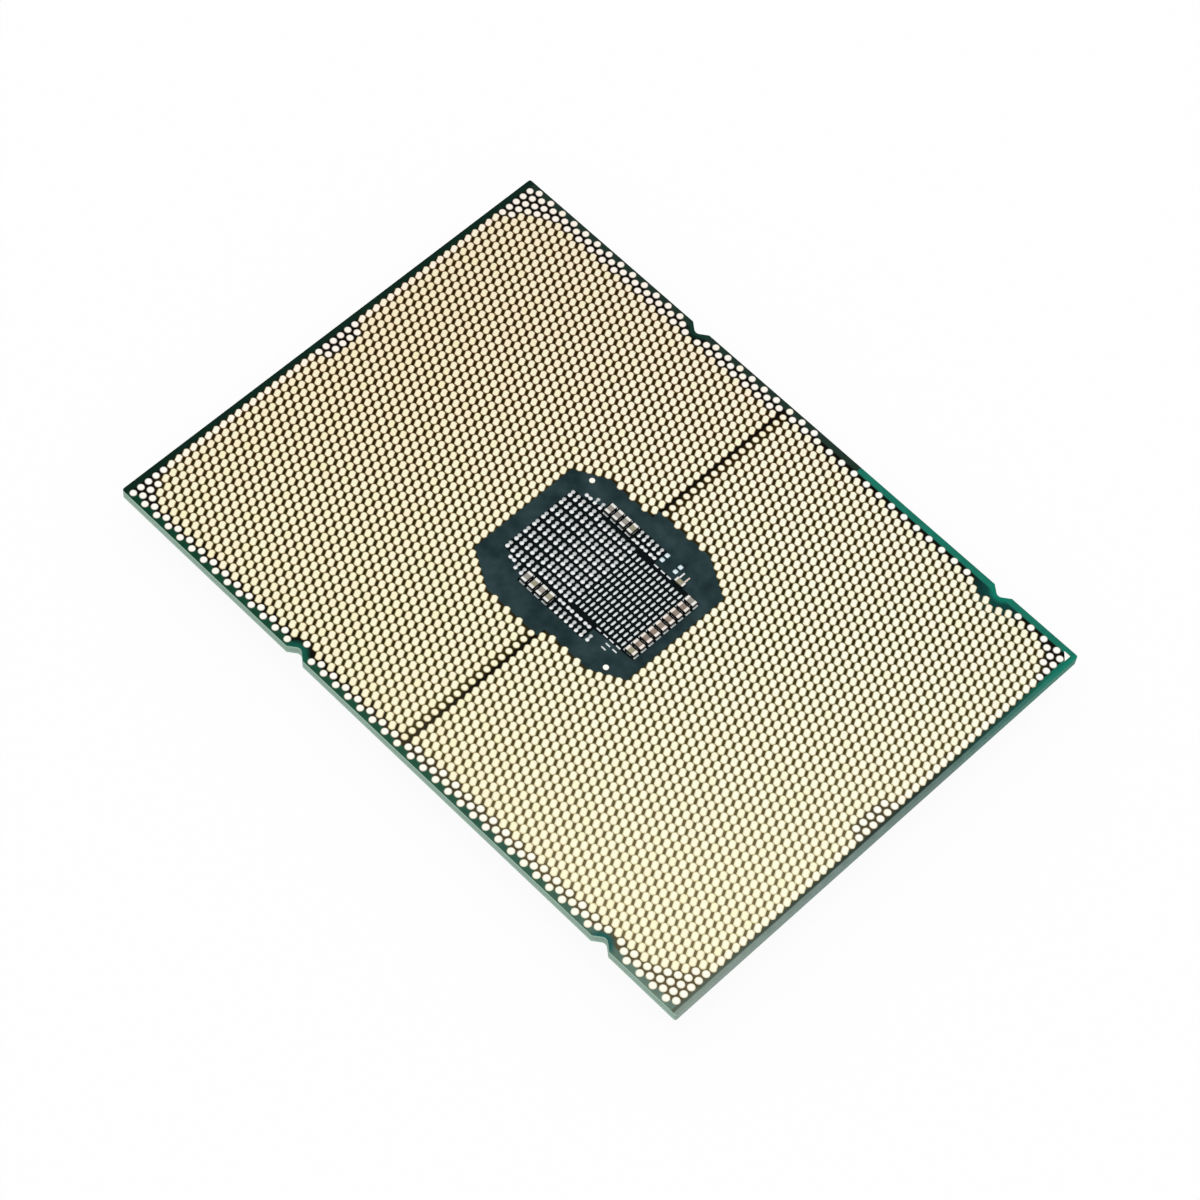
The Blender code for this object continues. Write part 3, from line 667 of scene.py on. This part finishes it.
def metal_material(name, low, high, gloss, size, stretch=EVEN, flank=1.0):
    """Plain metal with mottled colour and gloss."""
    material, tree, shader = new_material(name)
    cloud = noise(tree, size, stretch)
    # The flank share paints shade on sloping and upright faces.
    colour = shade_flanks(tree, mottle(tree, cloud, low, high), grey(flank))
    tree.links.new(colour, shader.inputs["Base Color"])
    set_gloss(tree, shader, cloud, gloss)
    shader.inputs["Metallic"].default_value = 1.0
    add_bump(tree, shader, cloud, METAL_BUMP)
    return material


def painted_light_towards_front(tree, stops):
    """Painted light: colours that change towards the front corner."""
    return graded(tree, slanted(tree, TOWARDS_FRONT_CORNER), stops)


def gold_material(name, tones, foot_tones, foot_band):
    """Gold plate: each land a little different, deeper along its foot with painted shade, with painted
    light that changes over the package, and fine grain in its gloss.
    """
    material, tree, shader = new_material(name)
    island = tree.nodes.new("ShaderNodeNewGeometry").outputs["Random Per Island"]
    # Painted light: the gold's tones change along the field towards the back corner.
    painted_light_along_field = graded(tree, slanted(tree, TOWARDS_BACK_CORNER), tones)
    far_x = calculate(tree, "ABSOLUTE", position(tree)[0])
    end_share = calculate(tree, "MULTIPLY", past(tree, far_x, HALF_LENGTH - PALE_END), PALE_SHARE)
    painted_light_along_field = mix_colours(tree, end_share, painted_light_along_field, screen(*PALE_GOLD))
    # Painted light: the gold is tinted towards the front corner.
    colour = mix_colours(tree, 1.0, painted_light_along_field, painted_light_towards_front(tree, FRONT_PAINTED_LIGHT), "MULTIPLY")
    colour = mix_colours(tree, 1.0, colour, ramp(tree, island, LAND_TINTS), "MULTIPLY")
    # Painted shade along the feet of the lands.
    foot_shaded = paint_shade_on_feet(tree, colour, painted_light_towards_front(tree, foot_tones), foot_band)
    tree.links.new(foot_shaded, shader.inputs["Base Color"])
    shader.inputs["Metallic"].default_value = 1.0
    grain = noise(tree, GOLD_GRAIN, GOLD_GRAIN_STRETCH)
    set_gloss(tree, shader, grain, GOLD_GLOSS)
    add_bump(tree, shader, grain, GOLD_BUMP)
    return material


def resin_material(name, low, high, gloss, size, specular=RESIN_SPECULAR, flank=1.0):
    """Any mottled non-metal: mask, epoxy, silicone, ceramic."""
    material, tree, shader = new_material(name)
    cloud = noise(tree, size)
    # The flank share paints shade on sloping and upright faces.
    colour = shade_flanks(tree, mottle(tree, cloud, low, high), grey(flank))
    tree.links.new(colour, shader.inputs["Base Color"])
    set_gloss(tree, shader, cloud, gloss)
    shader.inputs["Specular IOR Level"].default_value = specular
    add_bump(tree, shader, noise(tree, size / BLOTCH_TO_GRAIN), RESIN_BUMP)
    return material


def dark_share(tree, x, y):
    """Where the ground is darkest: along the edges, round the groups of round lands and in the seam."""
    far_x = calculate(tree, "ABSOLUTE", x)
    far_y = calculate(tree, "ABSOLUTE", y)
    share = past(tree, far_y, HALF_WIDTH - SIDE_BAND, BAND_SOFTNESS)
    share = calculate(tree, "MAXIMUM", share, past(tree, far_x, HALF_LENGTH - END_BAND, BAND_SOFTNESS))
    for circle_x, circle_y, reach in DARK_CIRCLES:
        circle = near(tree, x, y, (circle_x, circle_y), reach, BAND_SOFTNESS)
        share = calculate(tree, "MAXIMUM", share, circle)
    front_sign = calculate(tree, "SIGN", calculate(tree, "MULTIPLY", y, -1.0))
    across_seam = calculate(tree, "MULTIPLY", x, front_sign)
    beyond_seam = past(tree, across_seam, SEAM_BAND[1])
    into_seam = past(tree, across_seam, SEAM_BAND[0], SEAM_SOFTNESS)
    seam = calculate(tree, "SUBTRACT", into_seam, beyond_seam)
    return calculate(tree, "MAXIMUM", share, seam)


def mask_material():
    """Dark mask between the lands, with a green rim whose tone changes along it; the ground and the rim get
    paler towards the front corner with a painted highlight.
    """
    material, tree, shader = new_material("land_side_mask_look")
    x, y, _ = position(tree)
    front_y = calculate(tree, "MULTIPLY", y, -1.0)
    left_x = calculate(tree, "MULTIPLY", x, -1.0)
    teal = past(tree, x, TEAL_FROM_X)
    back_rim = mix_colours(tree, teal, screen(*BACK_RIM), screen(*BACK_RIM_TEAL))
    side_limit = HALF_WIDTH - RIM_WIDTH
    end_limit = HALF_LENGTH - RIM_WIDTH
    wide_notch = near(tree, x, y, (RIGHT_NOTCH_X, HALF_WIDTH), WIDE_NOTCH_REACH, WIDE_NOTCH_SOFTNESS)
    # The front and right rims are paler towards the front corner with a painted highlight; the right rim's
    # inner strip is darkened with painted shade beside the lands.
    zones = (
        (wide_notch, screen(*WIDE_NOTCH)),
        (past(tree, front_y, side_limit), graded(tree, x, FRONT_RIM)),
        (past(tree, y, side_limit), back_rim),
        (past(tree, left_x, end_limit), screen(*LEFT_RIM)),
        (past(tree, x, end_limit), graded(tree, y, RIGHT_RIM_INNER)),
        (past(tree, x, HALF_LENGTH - RIM_OUTER_WIDTH), graded(tree, y, RIGHT_RIM)),
    )
    notches = (
        ((LEFT_NOTCH_X, HALF_WIDTH), BACK_NOTCH),
        ((RIGHT_NOTCH_X, HALF_WIDTH), BACK_NOTCH_TEAL),
        ((LEFT_NOTCH_X, -HALF_WIDTH), FRONT_NOTCH),
        ((RIGHT_NOTCH_X, -HALF_WIDTH), FRONT_NOTCH_TEAL),
    )
    # Painted highlight: the ground between the lands gets paler towards the front corner.
    ground = painted_light_towards_front(tree, GROUND_TONES)
    dark_ground = painted_light_towards_front(tree, DARK_GROUND_TONES)
    colour = mix_colours(tree, dark_share(tree, x, y), ground, dark_ground)
    for share, tone in zones:
        colour = mix_colours(tree, share, colour, tone)
    for place, tone in notches:
        share = near(tree, x, y, place, RIM_NOTCH_REACH, NOTCH_SOFTNESS)
        colour = mix_colours(tree, share, colour, screen(*tone))
    cloud = noise(tree, MASK_BLOTCH)
    shade = mottle(tree, cloud, grey(MASK_SHADES[0]), grey(MASK_SHADES[1]))
    tree.links.new(mix_colours(tree, 1.0, colour, shade, "MULTIPLY"), shader.inputs["Base Color"])
    set_gloss(tree, shader, cloud, MASK_GLOSS)
    shader.inputs["Specular IOR Level"].default_value = MASK_SPECULAR
    add_bump(tree, shader, noise(tree, MASK_GRAIN), MASK_BUMP)
    return material


def edge_material(name, low, high, layer):
    """A cut laminate edge: fine flat layers, and greyer along the right end with painted light, paler
    towards the front.
    """
    material, tree, shader = new_material(name)
    x, y, _ = position(tree)
    layers = noise(tree, layer, LAYER_STRETCH)
    body = mottle(tree, layers, screen(*low), screen(*high))
    right_end = past(tree, x, HALF_LENGTH - WALL_SKIN - RIM_SOFTNESS)
    streaks = mottle(tree, layers, grey(STREAK_SHADES[0]), grey(STREAK_SHADES[1]))
    # Painted light along the right end, paler towards the front, over the real layer streaks.
    right_painted_light_and_streaks = mix_colours(tree, 1.0, graded(tree, y, RIGHT_WALL_PAINTED_LIGHT), streaks, "MULTIPLY")
    tree.links.new(mix_colours(tree, right_end, body, right_painted_light_and_streaks), shader.inputs["Base Color"])
    set_gloss(tree, shader, layers, EDGE_GLOSS)
    shader.inputs["Specular IOR Level"].default_value = EDGE_SPECULAR
    add_bump(tree, shader, layers, EDGE_BUMP)
    return material


# Lands and pads
GOLD = gold_material("gold_lands", GOLD_TONES, FOOT_TONES, FOOT_BAND)
ROUND_GOLD = gold_material("gold_round_lands", ROUND_GOLD_TONES, ROUND_FOOT_TONES, ROUND_FOOT_BAND)
SILVER = metal_material("bright_pads", (0.74, 0.77, 0.76), (0.86, 0.88, 0.87), SHINY, size=0.2)
DULL_SILVER = metal_material("dull_pads", (0.46, 0.49, 0.49), (0.66, 0.68, 0.67), SATIN, size=0.2)
DASH_SILVER = metal_material("dash_pads", (0.60, 0.63, 0.63), (0.76, 0.79, 0.79), BRIGHT, size=0.2)
TIN = metal_material("square_pads", (0.62, 0.74, 0.78), (0.74, 0.86, 0.88), BRIGHT, size=0.25)

# Capacitors and chip
FEET = metal_material("solder_feet", (0.40, 0.44, 0.43), (0.66, 0.69, 0.67), SATIN, size=0.3)
COPPER_LEAD = metal_material("tinted_lead", (0.70, 0.56, 0.52), (0.84, 0.72, 0.68), SATIN, size=0.2)
SIDE_ENDS = metal_material(
    "side_ends", (0.74, 0.67, 0.61), (0.88, 0.82, 0.76), SATIN, size=0.25, flank=END_FLANK
)
ROW_ENDS = metal_material(
    "row_ends", (0.70, 0.69, 0.65), (0.86, 0.84, 0.80), SATIN, size=0.25, flank=END_FLANK
)
SIDE_CERAMIC = resin_material(
    "side_bodies", screen(128, 112, 99), screen(164, 146, 131), DULL, size=0.3, flank=BODY_FLANK
)
ROW_CERAMIC = resin_material(
    "row_bodies", screen(140, 135, 126), screen(166, 160, 150), DULL, size=0.3, flank=BODY_FLANK
)
OLIVE_CERAMIC = resin_material(
    "olive_bodies", screen(142, 138, 112), screen(168, 163, 136), DULL, size=0.25, flank=BODY_FLANK
)

# Substrate
MASK = mask_material()
AREA = resin_material(
    "component_area_mask_look", screen(22, 42, 46), screen(47, 67, 70), BRIGHT, size=1.8, specular=0.05
)
BED = resin_material("pad_bed_look", screen(8, 14, 15), screen(16, 24, 25), MATTE, size=0.5, specular=0.02)
LOWER_MASK = resin_material(
    "die_side_mask_look", (0.004, 0.05, 0.035), (0.008, 0.07, 0.05), BRIGHT, size=1.1, specular=0.2
)
BUILDUP = edge_material("buildup_edge", (152, 190, 170), (164, 200, 181), layer=0.06)
CORE = edge_material("core_edge", (140, 162, 149), (156, 180, 166), layer=0.1)

# Lid and what it covers
NICKEL = metal_material(
    "lid_nickel", (0.60, 0.59, 0.56), (0.68, 0.67, 0.64), SMOOTH, size=1.4, stretch=BRUSHED
)
INDIUM = metal_material("solder_sheet", (0.52, 0.52, 0.54), (0.66, 0.66, 0.68), SATIN, size=0.7)
SEALANT = resin_material("sealant_look", grey(0.02), grey(0.045), MATTE, size=0.4)
SILICON = resin_material(
    "silicon_look", (0.05, 0.05, 0.06), (0.07, 0.07, 0.085), POLISHED, size=2.5, specular=0.8
)
EPOXY = resin_material("underfill_look", (0.03, 0.03, 0.035), (0.06, 0.06, 0.065), DULL, size=0.35)


# Lands


def rib_finder(node):
    """A test whether a point of the land plane lies on one of a field's ribs, and the ribs' height."""
    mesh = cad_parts[node].data
    corners = [vertex.co / MM for vertex in mesh.vertices]
    tree = BVHTree.FromPolygons(corners, [tuple(face.vertices) for face in mesh.polygons])
    top = max(corner.z for corner in corners)

    def on_rib(x, y):
        hit = tree.ray_cast(Vector((x, y, top + RAY_START)), Vector((0.0, 0.0, -1.0)))[0]
        return hit is not None and top - hit.z < RIB_TOLERANCE

    return on_rib, top


def at_edge(column, row):
    """Whether a site of the left field, counted from its back left corner, has a round land of the edge."""
    back_edge = row <= BACK_ROW or row <= BACK_CORNER_ROW - BACK_CORNER_SLOPE * column
    front_edge = row >= FRONT_ROW
    front_corner = column < FRONT_CORNER_COLUMNS and row >= FRONT_CORNER_ROW + FRONT_CORNER_SLOPE * column
    end_middle = False
    if column < len(END_MIDDLE_ROWS):
        first, last = END_MIDDLE_ROWS[column]
        end_middle = first <= row <= last
    return back_edge or front_edge or front_corner or end_middle


def at_seam(column, row):
    """Whether a site of the left field has a round land of the seam."""
    last = COLUMNS // 2
    return column == last or (column == last - 1 and row <= SEAM_END_ROW)


def beside_notch(x, y):
    """Whether a land lies close to one of the notches that round lands go round."""
    notches = (
        (LEFT_NOTCH_X, HALF_WIDTH),
        (LEFT_NOTCH_X, -HALF_WIDTH),
        (RIGHT_NOTCH_X, -HALF_WIDTH),
    )
    return min(math.dist((x, y), notch) for notch in notches) < ROUND_NEAR_NOTCH


def oblong_land_outlines():
    """Foot and face of a land in the field: close to four neighbours, with a slot towards the other two."""
    outlines = []
    for inset in (0.0, LAND_EDGE):
        sides = []
        for half_turn in (0.0, 180.0):
            for direction, reach in LAND_SIDES:
                sides.append((math.radians(direction + half_turn), reach - inset))
        outlines.append(rounded_polygon(sides, LAND_CORNER - inset, LAND_CORNER_STEPS))
    return outlines


def round_land_outlines(width):
    """Foot and face of a round land."""
    widths = (width, width - 2 * LAND_EDGE)
    return [oval(size, size, ROUND_POWER, ROUND_SIDES) for size in widths]


def land_field(name, node, side):
    """Every land of one field, on its CAD ribs; side -1 turns the left field half round to the right."""
    on_rib, top = rib_finder(node)
    first_x = -((COLUMNS - 1) * COLUMN_PITCH + SEAM_GAP) / 2
    first_y = (ROWS - 1 - ROW_STAGGER) * LAND_PITCH / 2
    oblong = oblong_land_outlines()
    round_at_edge = round_land_outlines(ROUND_LAND)
    round_at_seam = round_land_outlines(SEAM_LAND)
    inner = Shape()
    outer = Shape()
    for column in range(COLUMNS // 2 + 1):
        x = side * (first_x + column * COLUMN_PITCH)
        for step in range(ROWS):
            row = step - ROW_STAGGER * (column % 2)
            y = side * (first_y - row * LAND_PITCH)
            if not on_rib(x, y):
                continue
            outermost = at_edge(column, row) or beside_notch(x, y)
            if outermost:
                foot, face = round_at_edge
            elif at_seam(column, row):
                foot, face = round_at_seam
            else:
                foot, face = oblong
            rings = [placed(foot, (x, y), LAND_FACE), placed(face, (x, y), top - LAND_CROWN)]
            shape = outer if outermost else inner
            shape.add_loft(rings, (x, y, top))
    make_piece(name, inner, GOLD, (node,), LAND_SMOOTHING)
    make_piece(f"{name}_outermost", outer, ROUND_GOLD, (), LAND_SMOOTHING)


def lone_lands():
    for side in ("left", "right"):
        node = f"lone_land_{side}"
        low, high = node_box(node)
        shape = Shape()
        add_pad(shape, (low + high) / 2, (LONE_LAND, LONE_LAND), high.z, ROUND_POWER)
        make_piece(f"lone_pad_{side}", shape, ROUND_GOLD, (node,))


def pin_one_triangle():
    low, high = node_box("pin_one_mark")
    corners = [(high.x, high.y), (low.x, high.y), (high.x, low.y)]
    middle_x = sum(x for x, _ in corners) / len(corners)
    middle_y = sum(y for _, y in corners) / len(corners)
    drawn_in = []
    for x, y in corners:
        share = 1 - MARK_EDGE / math.hypot(x - middle_x, y - middle_y)
        drawn_in.append((middle_x + (x - middle_x) * share, middle_y + (y - middle_y) * share))
    shape = Shape()
    foot = [(x, y, LAND_FACE) for x, y in corners]
    face = [(x, y, high.z - LAND_CROWN) for x, y in drawn_in]
    shape.add_loft([foot, face], (middle_x, middle_y, high.z))
    make_piece("pin_one_triangle", shape, ROUND_GOLD, ("pin_one_mark",))


# Component area


def area_plate():
    outline = [*AREA_HALF, *((-x, -y) for x, y in AREA_HALF)]
    shape = Shape()
    shape.add_loft([placed(outline, (0.0, 0.0), height) for height in (LAND_FACE, BARE_GROUND)])
    make_piece("component_area", shape, AREA)


def pad_bed():
    """The nearly black ground under the blocks, the groups and the capacitors; under the capacitors it is
    painted shade.
    """
    heights = (BARE_GROUND, BARE_GROUND + BED_HEIGHT)
    shape = Shape()
    shape.add_loft([placed(BED_OUTLINE, (0.0, 0.0), height) for height in heights])
    make_piece("pad_bed", shape, BED)


def grid(node, counts, pad_width, pad_length):
    """Centres of a block's pads and the height of their tops, from the block's CAD node."""
    columns, rows = counts
    low, high = node_box(node)
    left = low.x + PAD_BORDER + pad_width / 2
    right = high.x - PAD_BORDER - pad_width / 2
    back = high.y - PAD_BORDER - pad_length / 2
    front = low.y + PAD_BORDER + pad_length / 2
    centres = []
    for column in range(columns):
        for row in range(rows):
            x = left + (right - left) * column / (columns - 1)
            y = back + (front - back) * row / (rows - 1)
            centres.append((x, y))
    return centres, high.z


def footprints(name, places, lobe, top, replaced=()):
    """Unfilled places: two pads joined by a waist; the back pad of an upright place is duller."""
    bright = Shape()
    dull = Shape()
    back_lobe = lobe * BACK_LOBE_SHARE
    for x, y, spacing, upright in places:
        half = spacing / 2
        if upright:
            add_pad(bright, (x + LOBE_SLANT, y - half), (lobe, lobe), top)
            add_pad(dull, (x - LOBE_SLANT, y + half), (back_lobe, back_lobe), top)
            add_pad(dull, (x, y), (WAIST_WIDTH, spacing), top - WAIST_DROP)
        else:
            add_pad(bright, (x - half, y), (lobe, lobe), top)
            add_pad(bright, (x + half, y), (lobe, lobe), top)
            add_pad(dull, (x, y), (spacing, WAIST_WIDTH), top - WAIST_DROP)
    make_piece(f"{name}_bright_pads", bright, SILVER, replaced)
    make_piece(f"{name}_dull_pads", dull, DULL_SILVER)


def footprint_block(name, node, counts):
    centres, top = grid(node, counts, FOOTPRINT_WIDTH, FOOTPRINT_LENGTH)
    places = [(x, y, LOBE_SPACING, True) for x, y in centres]
    footprints(name, places, BLOCK_LOBE, top, (node,))


def dash_block():
    centres, top = grid("right_pad_block", RIGHT_BLOCK, DASH_WIDTH, DASH_LENGTH)
    shape = Shape()
    for centre in centres:
        add_pad(shape, centre, (DASH_WIDTH, DASH_LENGTH), top, SQUARE_POWER)
    make_piece("right_dashes", shape, DASH_SILVER, ("right_pad_block",))


def pad_group(name, node, columns, outward):
    """A row of upright places on the far side and a row of sideways ones on the side of the blocks."""
    low, high = node_box(node)
    left = low.x + PAD_BORDER
    right = high.x - PAD_BORDER
    outer = (high.y if outward > 0 else low.y) - outward * (PAD_BORDER + GROUP_INSET + GROUP_SPACING / 2)
    inner = (low.y if outward > 0 else high.y) + outward * (PAD_BORDER + GROUP_INSET)
    places = []
    for column in range(columns):
        x = left + GROUP_INSET + (right - left - 2 * GROUP_INSET) * column / (columns - 1)
        places.append((x, outer, GROUP_SPACING, True))
    for pair in range(columns // 2 + 1):
        places.append((left + SIDEWAYS_INSET + pair * SIDEWAYS_PITCH, inner, GROUP_SPACING, False))
    footprints(name, places, GROUP_LOBE, high.z, (node,))


def loose_pads():
    top = node_box("right_pad_block")[1].z
    places = [(x, y, GROUP_SPACING, True) for x, y in LOOSE_UPRIGHT]
    places += [(x, y, GROUP_SPACING, False) for x, y in LOOSE_SIDEWAYS]
    footprints("loose", places, GROUP_LOBE, top)
    dashes = Shape()
    for centre in LOOSE_DASHES:
        add_pad(dashes, centre, LOOSE_DASH, top, SQUARE_POWER)
    make_piece("loose_dashes", dashes, DASH_SILVER)


def test_pads():
    for number in range(1, TEST_PADS + 1):
        node = f"test_pad_{number}"
        low, high = node_box(node)
        shape = Shape()
        add_pad(shape, (low + high) / 2, (high.x - low.x, high.y - low.y), high.z, SQUARE_POWER)
        make_piece(f"test_pad_{number}_solder", shape, TIN, (node,))


# Capacitors and chip


def capacitor(node, body_look, end_look):
    """A ceramic body between two metal ends, on solder feet that reach past the ends."""
    low, high = node_box(node)
    body = Shape()
    ends = Shape()
    feet = Shape()
    foot_top = LAND_FACE + FOOT_HEIGHT
    if high.x - low.x > high.y - low.y:
        body_low = (low.x + END_LENGTH / 2, low.y + BODY_DROP)
        body_high = (high.x - END_LENGTH / 2, high.y - BODY_DROP)
        end_spans = ((low.x, low.x + END_LENGTH), (high.x - END_LENGTH, high.x))
        end_corners = [((first, low.y), (second, high.y)) for first, second in end_spans]
        foot_corners = ((low.x - FOOT_REACH, low.y), (high.x + FOOT_REACH, high.y))
    else:
        body_low = (low.x + BODY_DROP, low.y + END_LENGTH / 2)
        body_high = (high.x - BODY_DROP, high.y - END_LENGTH / 2)
        end_spans = ((low.y, low.y + END_LENGTH), (high.y - END_LENGTH, high.y))
        end_corners = [((low.x, first), (high.x, second)) for first, second in end_spans]
        foot_corners = ((low.x, low.y - FOOT_REACH), (high.x, high.y + FOOT_REACH))
    add_block(body, body_low, body_high, foot_top, high.z - BODY_DROP)
    for first, second in end_corners:
        add_block(ends, first, second, foot_top, high.z)
    add_block(feet, *foot_corners, LAND_FACE, foot_top, FOOT_HEIGHT / 2)
    make_piece(f"{node}_body", body, body_look, (node,))
    make_piece(f"{node}_ends", ends, end_look)
    make_piece(f"{node}_feet", feet, FEET)


def capacitors():
    """Two rows with greyer bodies and a column with browner ones; a few bodies are olive."""
    names = [f"side_capacitor_{number}" for number in range(1, SIDE_CAPACITORS + 1)]
    for row in ("upper", "lower"):
        names += [f"{row}_capacitor_{number}" for number in range(1, ROW_CAPACITORS + 1)]
    for name in names:
        brown = name.startswith("side") and name not in PALE_CAPACITORS
        body_look = SIDE_CERAMIC if brown else ROW_CERAMIC
        if name in OLIVE_CAPACITORS:
            body_look = OLIVE_CERAMIC
        capacitor(name, body_look, SIDE_ENDS if brown else ROW_ENDS)


def corner_chip():
    """A small ceramic chip with metal ends and two flat leads."""
    low, high = node_box("corner_chip")
    back = low.y + CHIP_WIDTH
    body = Shape()
    inner_left = low.x + CHIP_END / 2
    inner_right = high.x - CHIP_END / 2
    add_block(body, (inner_left, low.y), (inner_right, back), LAND_FACE, high.z - BODY_DROP)
    make_piece("chip_body", body, OLIVE_CERAMIC, ("corner_chip",))
    ends = Shape()
    for left in (low.x, high.x - CHIP_END):
        add_block(ends, (left, low.y), (left + CHIP_END, back), LAND_FACE, high.z)
    make_piece("chip_ends", ends, ROW_ENDS)
    lead_top = LAND_FACE + LEAD_HEIGHT
    left_lead = low.x + LEFT_LEAD_INSET
    right_lead = high.x - RIGHT_LEAD_INSET - LEAD_WIDTH
    for name, left, look in (("left", left_lead, SILVER), ("right", right_lead, COPPER_LEAD)):
        lead = Shape()
        add_block(lead, (left, back), (left + LEAD_WIDTH, high.y), LAND_FACE, lead_top)
        make_piece(f"chip_{name}_lead", lead, look)


# Lid


def lid():
    """Raised contact face, flange, foot and hollow, lofted through rounded rectangles with an inset."""
    high = node_box("heat_spreader")[1]
    flange = (high.x, high.y)
    face = (high.x - PLATEAU_END_STEP, high.y - PLATEAU_SIDE_STEP)
    eased = EDGE_EASE * LID_EDGE
    levels = (
        (face, LID_EDGE, 0.0),
        (face, eased, eased),
        (face, 0.0, LID_EDGE),
        (face, 0.0, PLATEAU_HEIGHT - LID_EDGE),
        (face, -eased, PLATEAU_HEIGHT - eased),
        (face, -LID_EDGE, PLATEAU_HEIGHT),
        (flange, LID_EDGE, PLATEAU_HEIGHT),
        (flange, eased, PLATEAU_HEIGHT + eased),
        (flange, 0.0, PLATEAU_HEIGHT + LID_EDGE),
        (flange, 0.0, high.z - LID_EDGE),
        (flange, LID_EDGE, high.z),
        (flange, LID_FOOT_WIDTH, high.z),
        (flange, LID_FOOT_WIDTH, CAVITY_ROOF),
    )
    rings = []
    for (half_x, half_y), inset, height in levels:
        outline = rounded_rectangle(half_x - inset, half_y - inset, LID_CORNER, LID_CORNER_STEPS)
        rings.append(placed(outline, (0.0, 0.0), height))
    shape = Shape()
    shape.add_loft(rings)
    make_piece("lid", shape, NICKEL, ("heat_spreader",))


def dress_nodes():
    """Better materials for the CAD nodes whose shape is kept."""
    looks = {
        "land_side_mask": MASK,
        "die_side_mask": LOWER_MASK,
        "land_side_buildup": BUILDUP,
        "die_side_buildup": BUILDUP,
        "core_laminate": CORE,
        "lid_sealant": SEALANT,
        "thermal_interface": INDIUM,
        "silicon_die": SILICON,
        "underfill": EPOXY,
    }
    for name, look in looks.items():
        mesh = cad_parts[name].data
        mesh.materials.clear()
        mesh.materials.append(look)


# Stage


def seen_directly(tree):
    """One for rays from the camera, a mirror or glass, and nothing for other light."""
    path = tree.nodes.new("ShaderNodeLightPath")
    sharp = calculate(tree, "MAXIMUM", path.outputs["Is Glossy Ray"], path.outputs["Is Transmission Ray"])
    return calculate(tree, "MAXIMUM", path.outputs["Is Camera Ray"], sharp)


def floor():
    """A white floor, lifted towards pure white where it is seen, that still takes the shadow."""
    half = FLOOR_SIZE / 2 * MM
    corners = [(-half, -half, 0.0), (half, -half, 0.0), (half, half, 0.0), (-half, half, 0.0)]
    mesh = bpy.data.meshes.new("floor")
    mesh.from_pydata(corners, [], [(0, 1, 2, 3)])
    material, tree, shader = new_material("floor_look")
    shader.inputs["Base Color"].default_value = (*grey(FLOOR_COLOUR), 1.0)
    shader.inputs["Roughness"].default_value = FLOOR_ROUGHNESS
    shader.inputs["Specular IOR Level"].default_value = 0.0
    glow = add_node(tree, "ShaderNodeEmission", Strength=1.0)
    blend = tree.nodes.new("ShaderNodeMixShader")
    lift = calculate(tree, "MULTIPLY", seen_directly(tree), FLOOR_LIFT)
    tree.links.new(lift, blend.inputs["Fac"])
    tree.links.new(shader.outputs["BSDF"], blend.inputs[1])
    tree.links.new(glow.outputs["Emission"], blend.inputs[2])
    tree.links.new(blend.outputs["Shader"], tree.nodes["Material Output"].inputs["Surface"])
    mesh.materials.append(material)
    plane = bpy.data.objects.new("floor", mesh)
    bpy.context.scene.collection.objects.link(plane)


def room():
    world = bpy.data.worlds.new("room")
    world.use_nodes = True
    background = world.node_tree.nodes["Background"]
    background.inputs["Color"].default_value = (1.0, 1.0, 1.0, 1.0)
    background.inputs["Strength"].default_value = ROOM_LIGHT
    bpy.context.scene.world = world


def softbox():
    light = bpy.data.lights.new("key_softbox", "AREA")
    light.shape = "SQUARE"
    light.size = KEY_SIZE * MM
    light.energy = KEY_POWER
    lamp = bpy.data.objects.new("key_softbox", light)
    lamp.location = Vector(KEY_PLACE) * MM
    lamp.rotation_euler = (-lamp.location).to_track_quat("-Z", "Y").to_euler()
    bpy.context.scene.collection.objects.link(lamp)


def camera():
    data = bpy.data.cameras.new("camera")
    data.lens = CAMERA_LENS
    data.sensor_width = SENSOR_WIDTH
    data.clip_start = NEAREST_SEEN * MM
    flat = math.cos(CAMERA_ELEVATION)
    towards_eye = Vector((
        flat * math.sin(CAMERA_AZIMUTH),
        -flat * math.cos(CAMERA_AZIMUTH),
        math.sin(CAMERA_ELEVATION),
    ))
    level = towards_eye.to_track_quat("Z", "Y").to_matrix()
    turned = (level @ Matrix.Rotation(CAMERA_ROLL, 3, "Z")).to_4x4()
    turned.translation = (Vector(CAMERA_AIM) + towards_eye * CAMERA_DISTANCE) * MM
    eye = bpy.data.objects.new("camera", data)
    eye.matrix_world = turned
    bpy.context.scene.collection.objects.link(eye)
    bpy.context.scene.camera = eye


camera()
room()
softbox()
floor()
bpy.context.scene.view_settings.view_transform = "Standard"

dress_nodes()
lid()
land_field("left_lands", "left_land_field", 1)
land_field("right_lands", "right_land_field", -1)
lone_lands()
pin_one_triangle()
area_plate()
pad_bed()
footprint_block("left", "left_pad_block", LEFT_BLOCK)
footprint_block("middle", "middle_pad_block", MIDDLE_BLOCK)
dash_block()
pad_group("upper", "upper_pad_group", UPPER_COLUMNS, 1)
pad_group("lower", "lower_pad_group", LOWER_COLUMNS, -1)
loose_pads()
test_pads()
capacitors()
corner_chip()
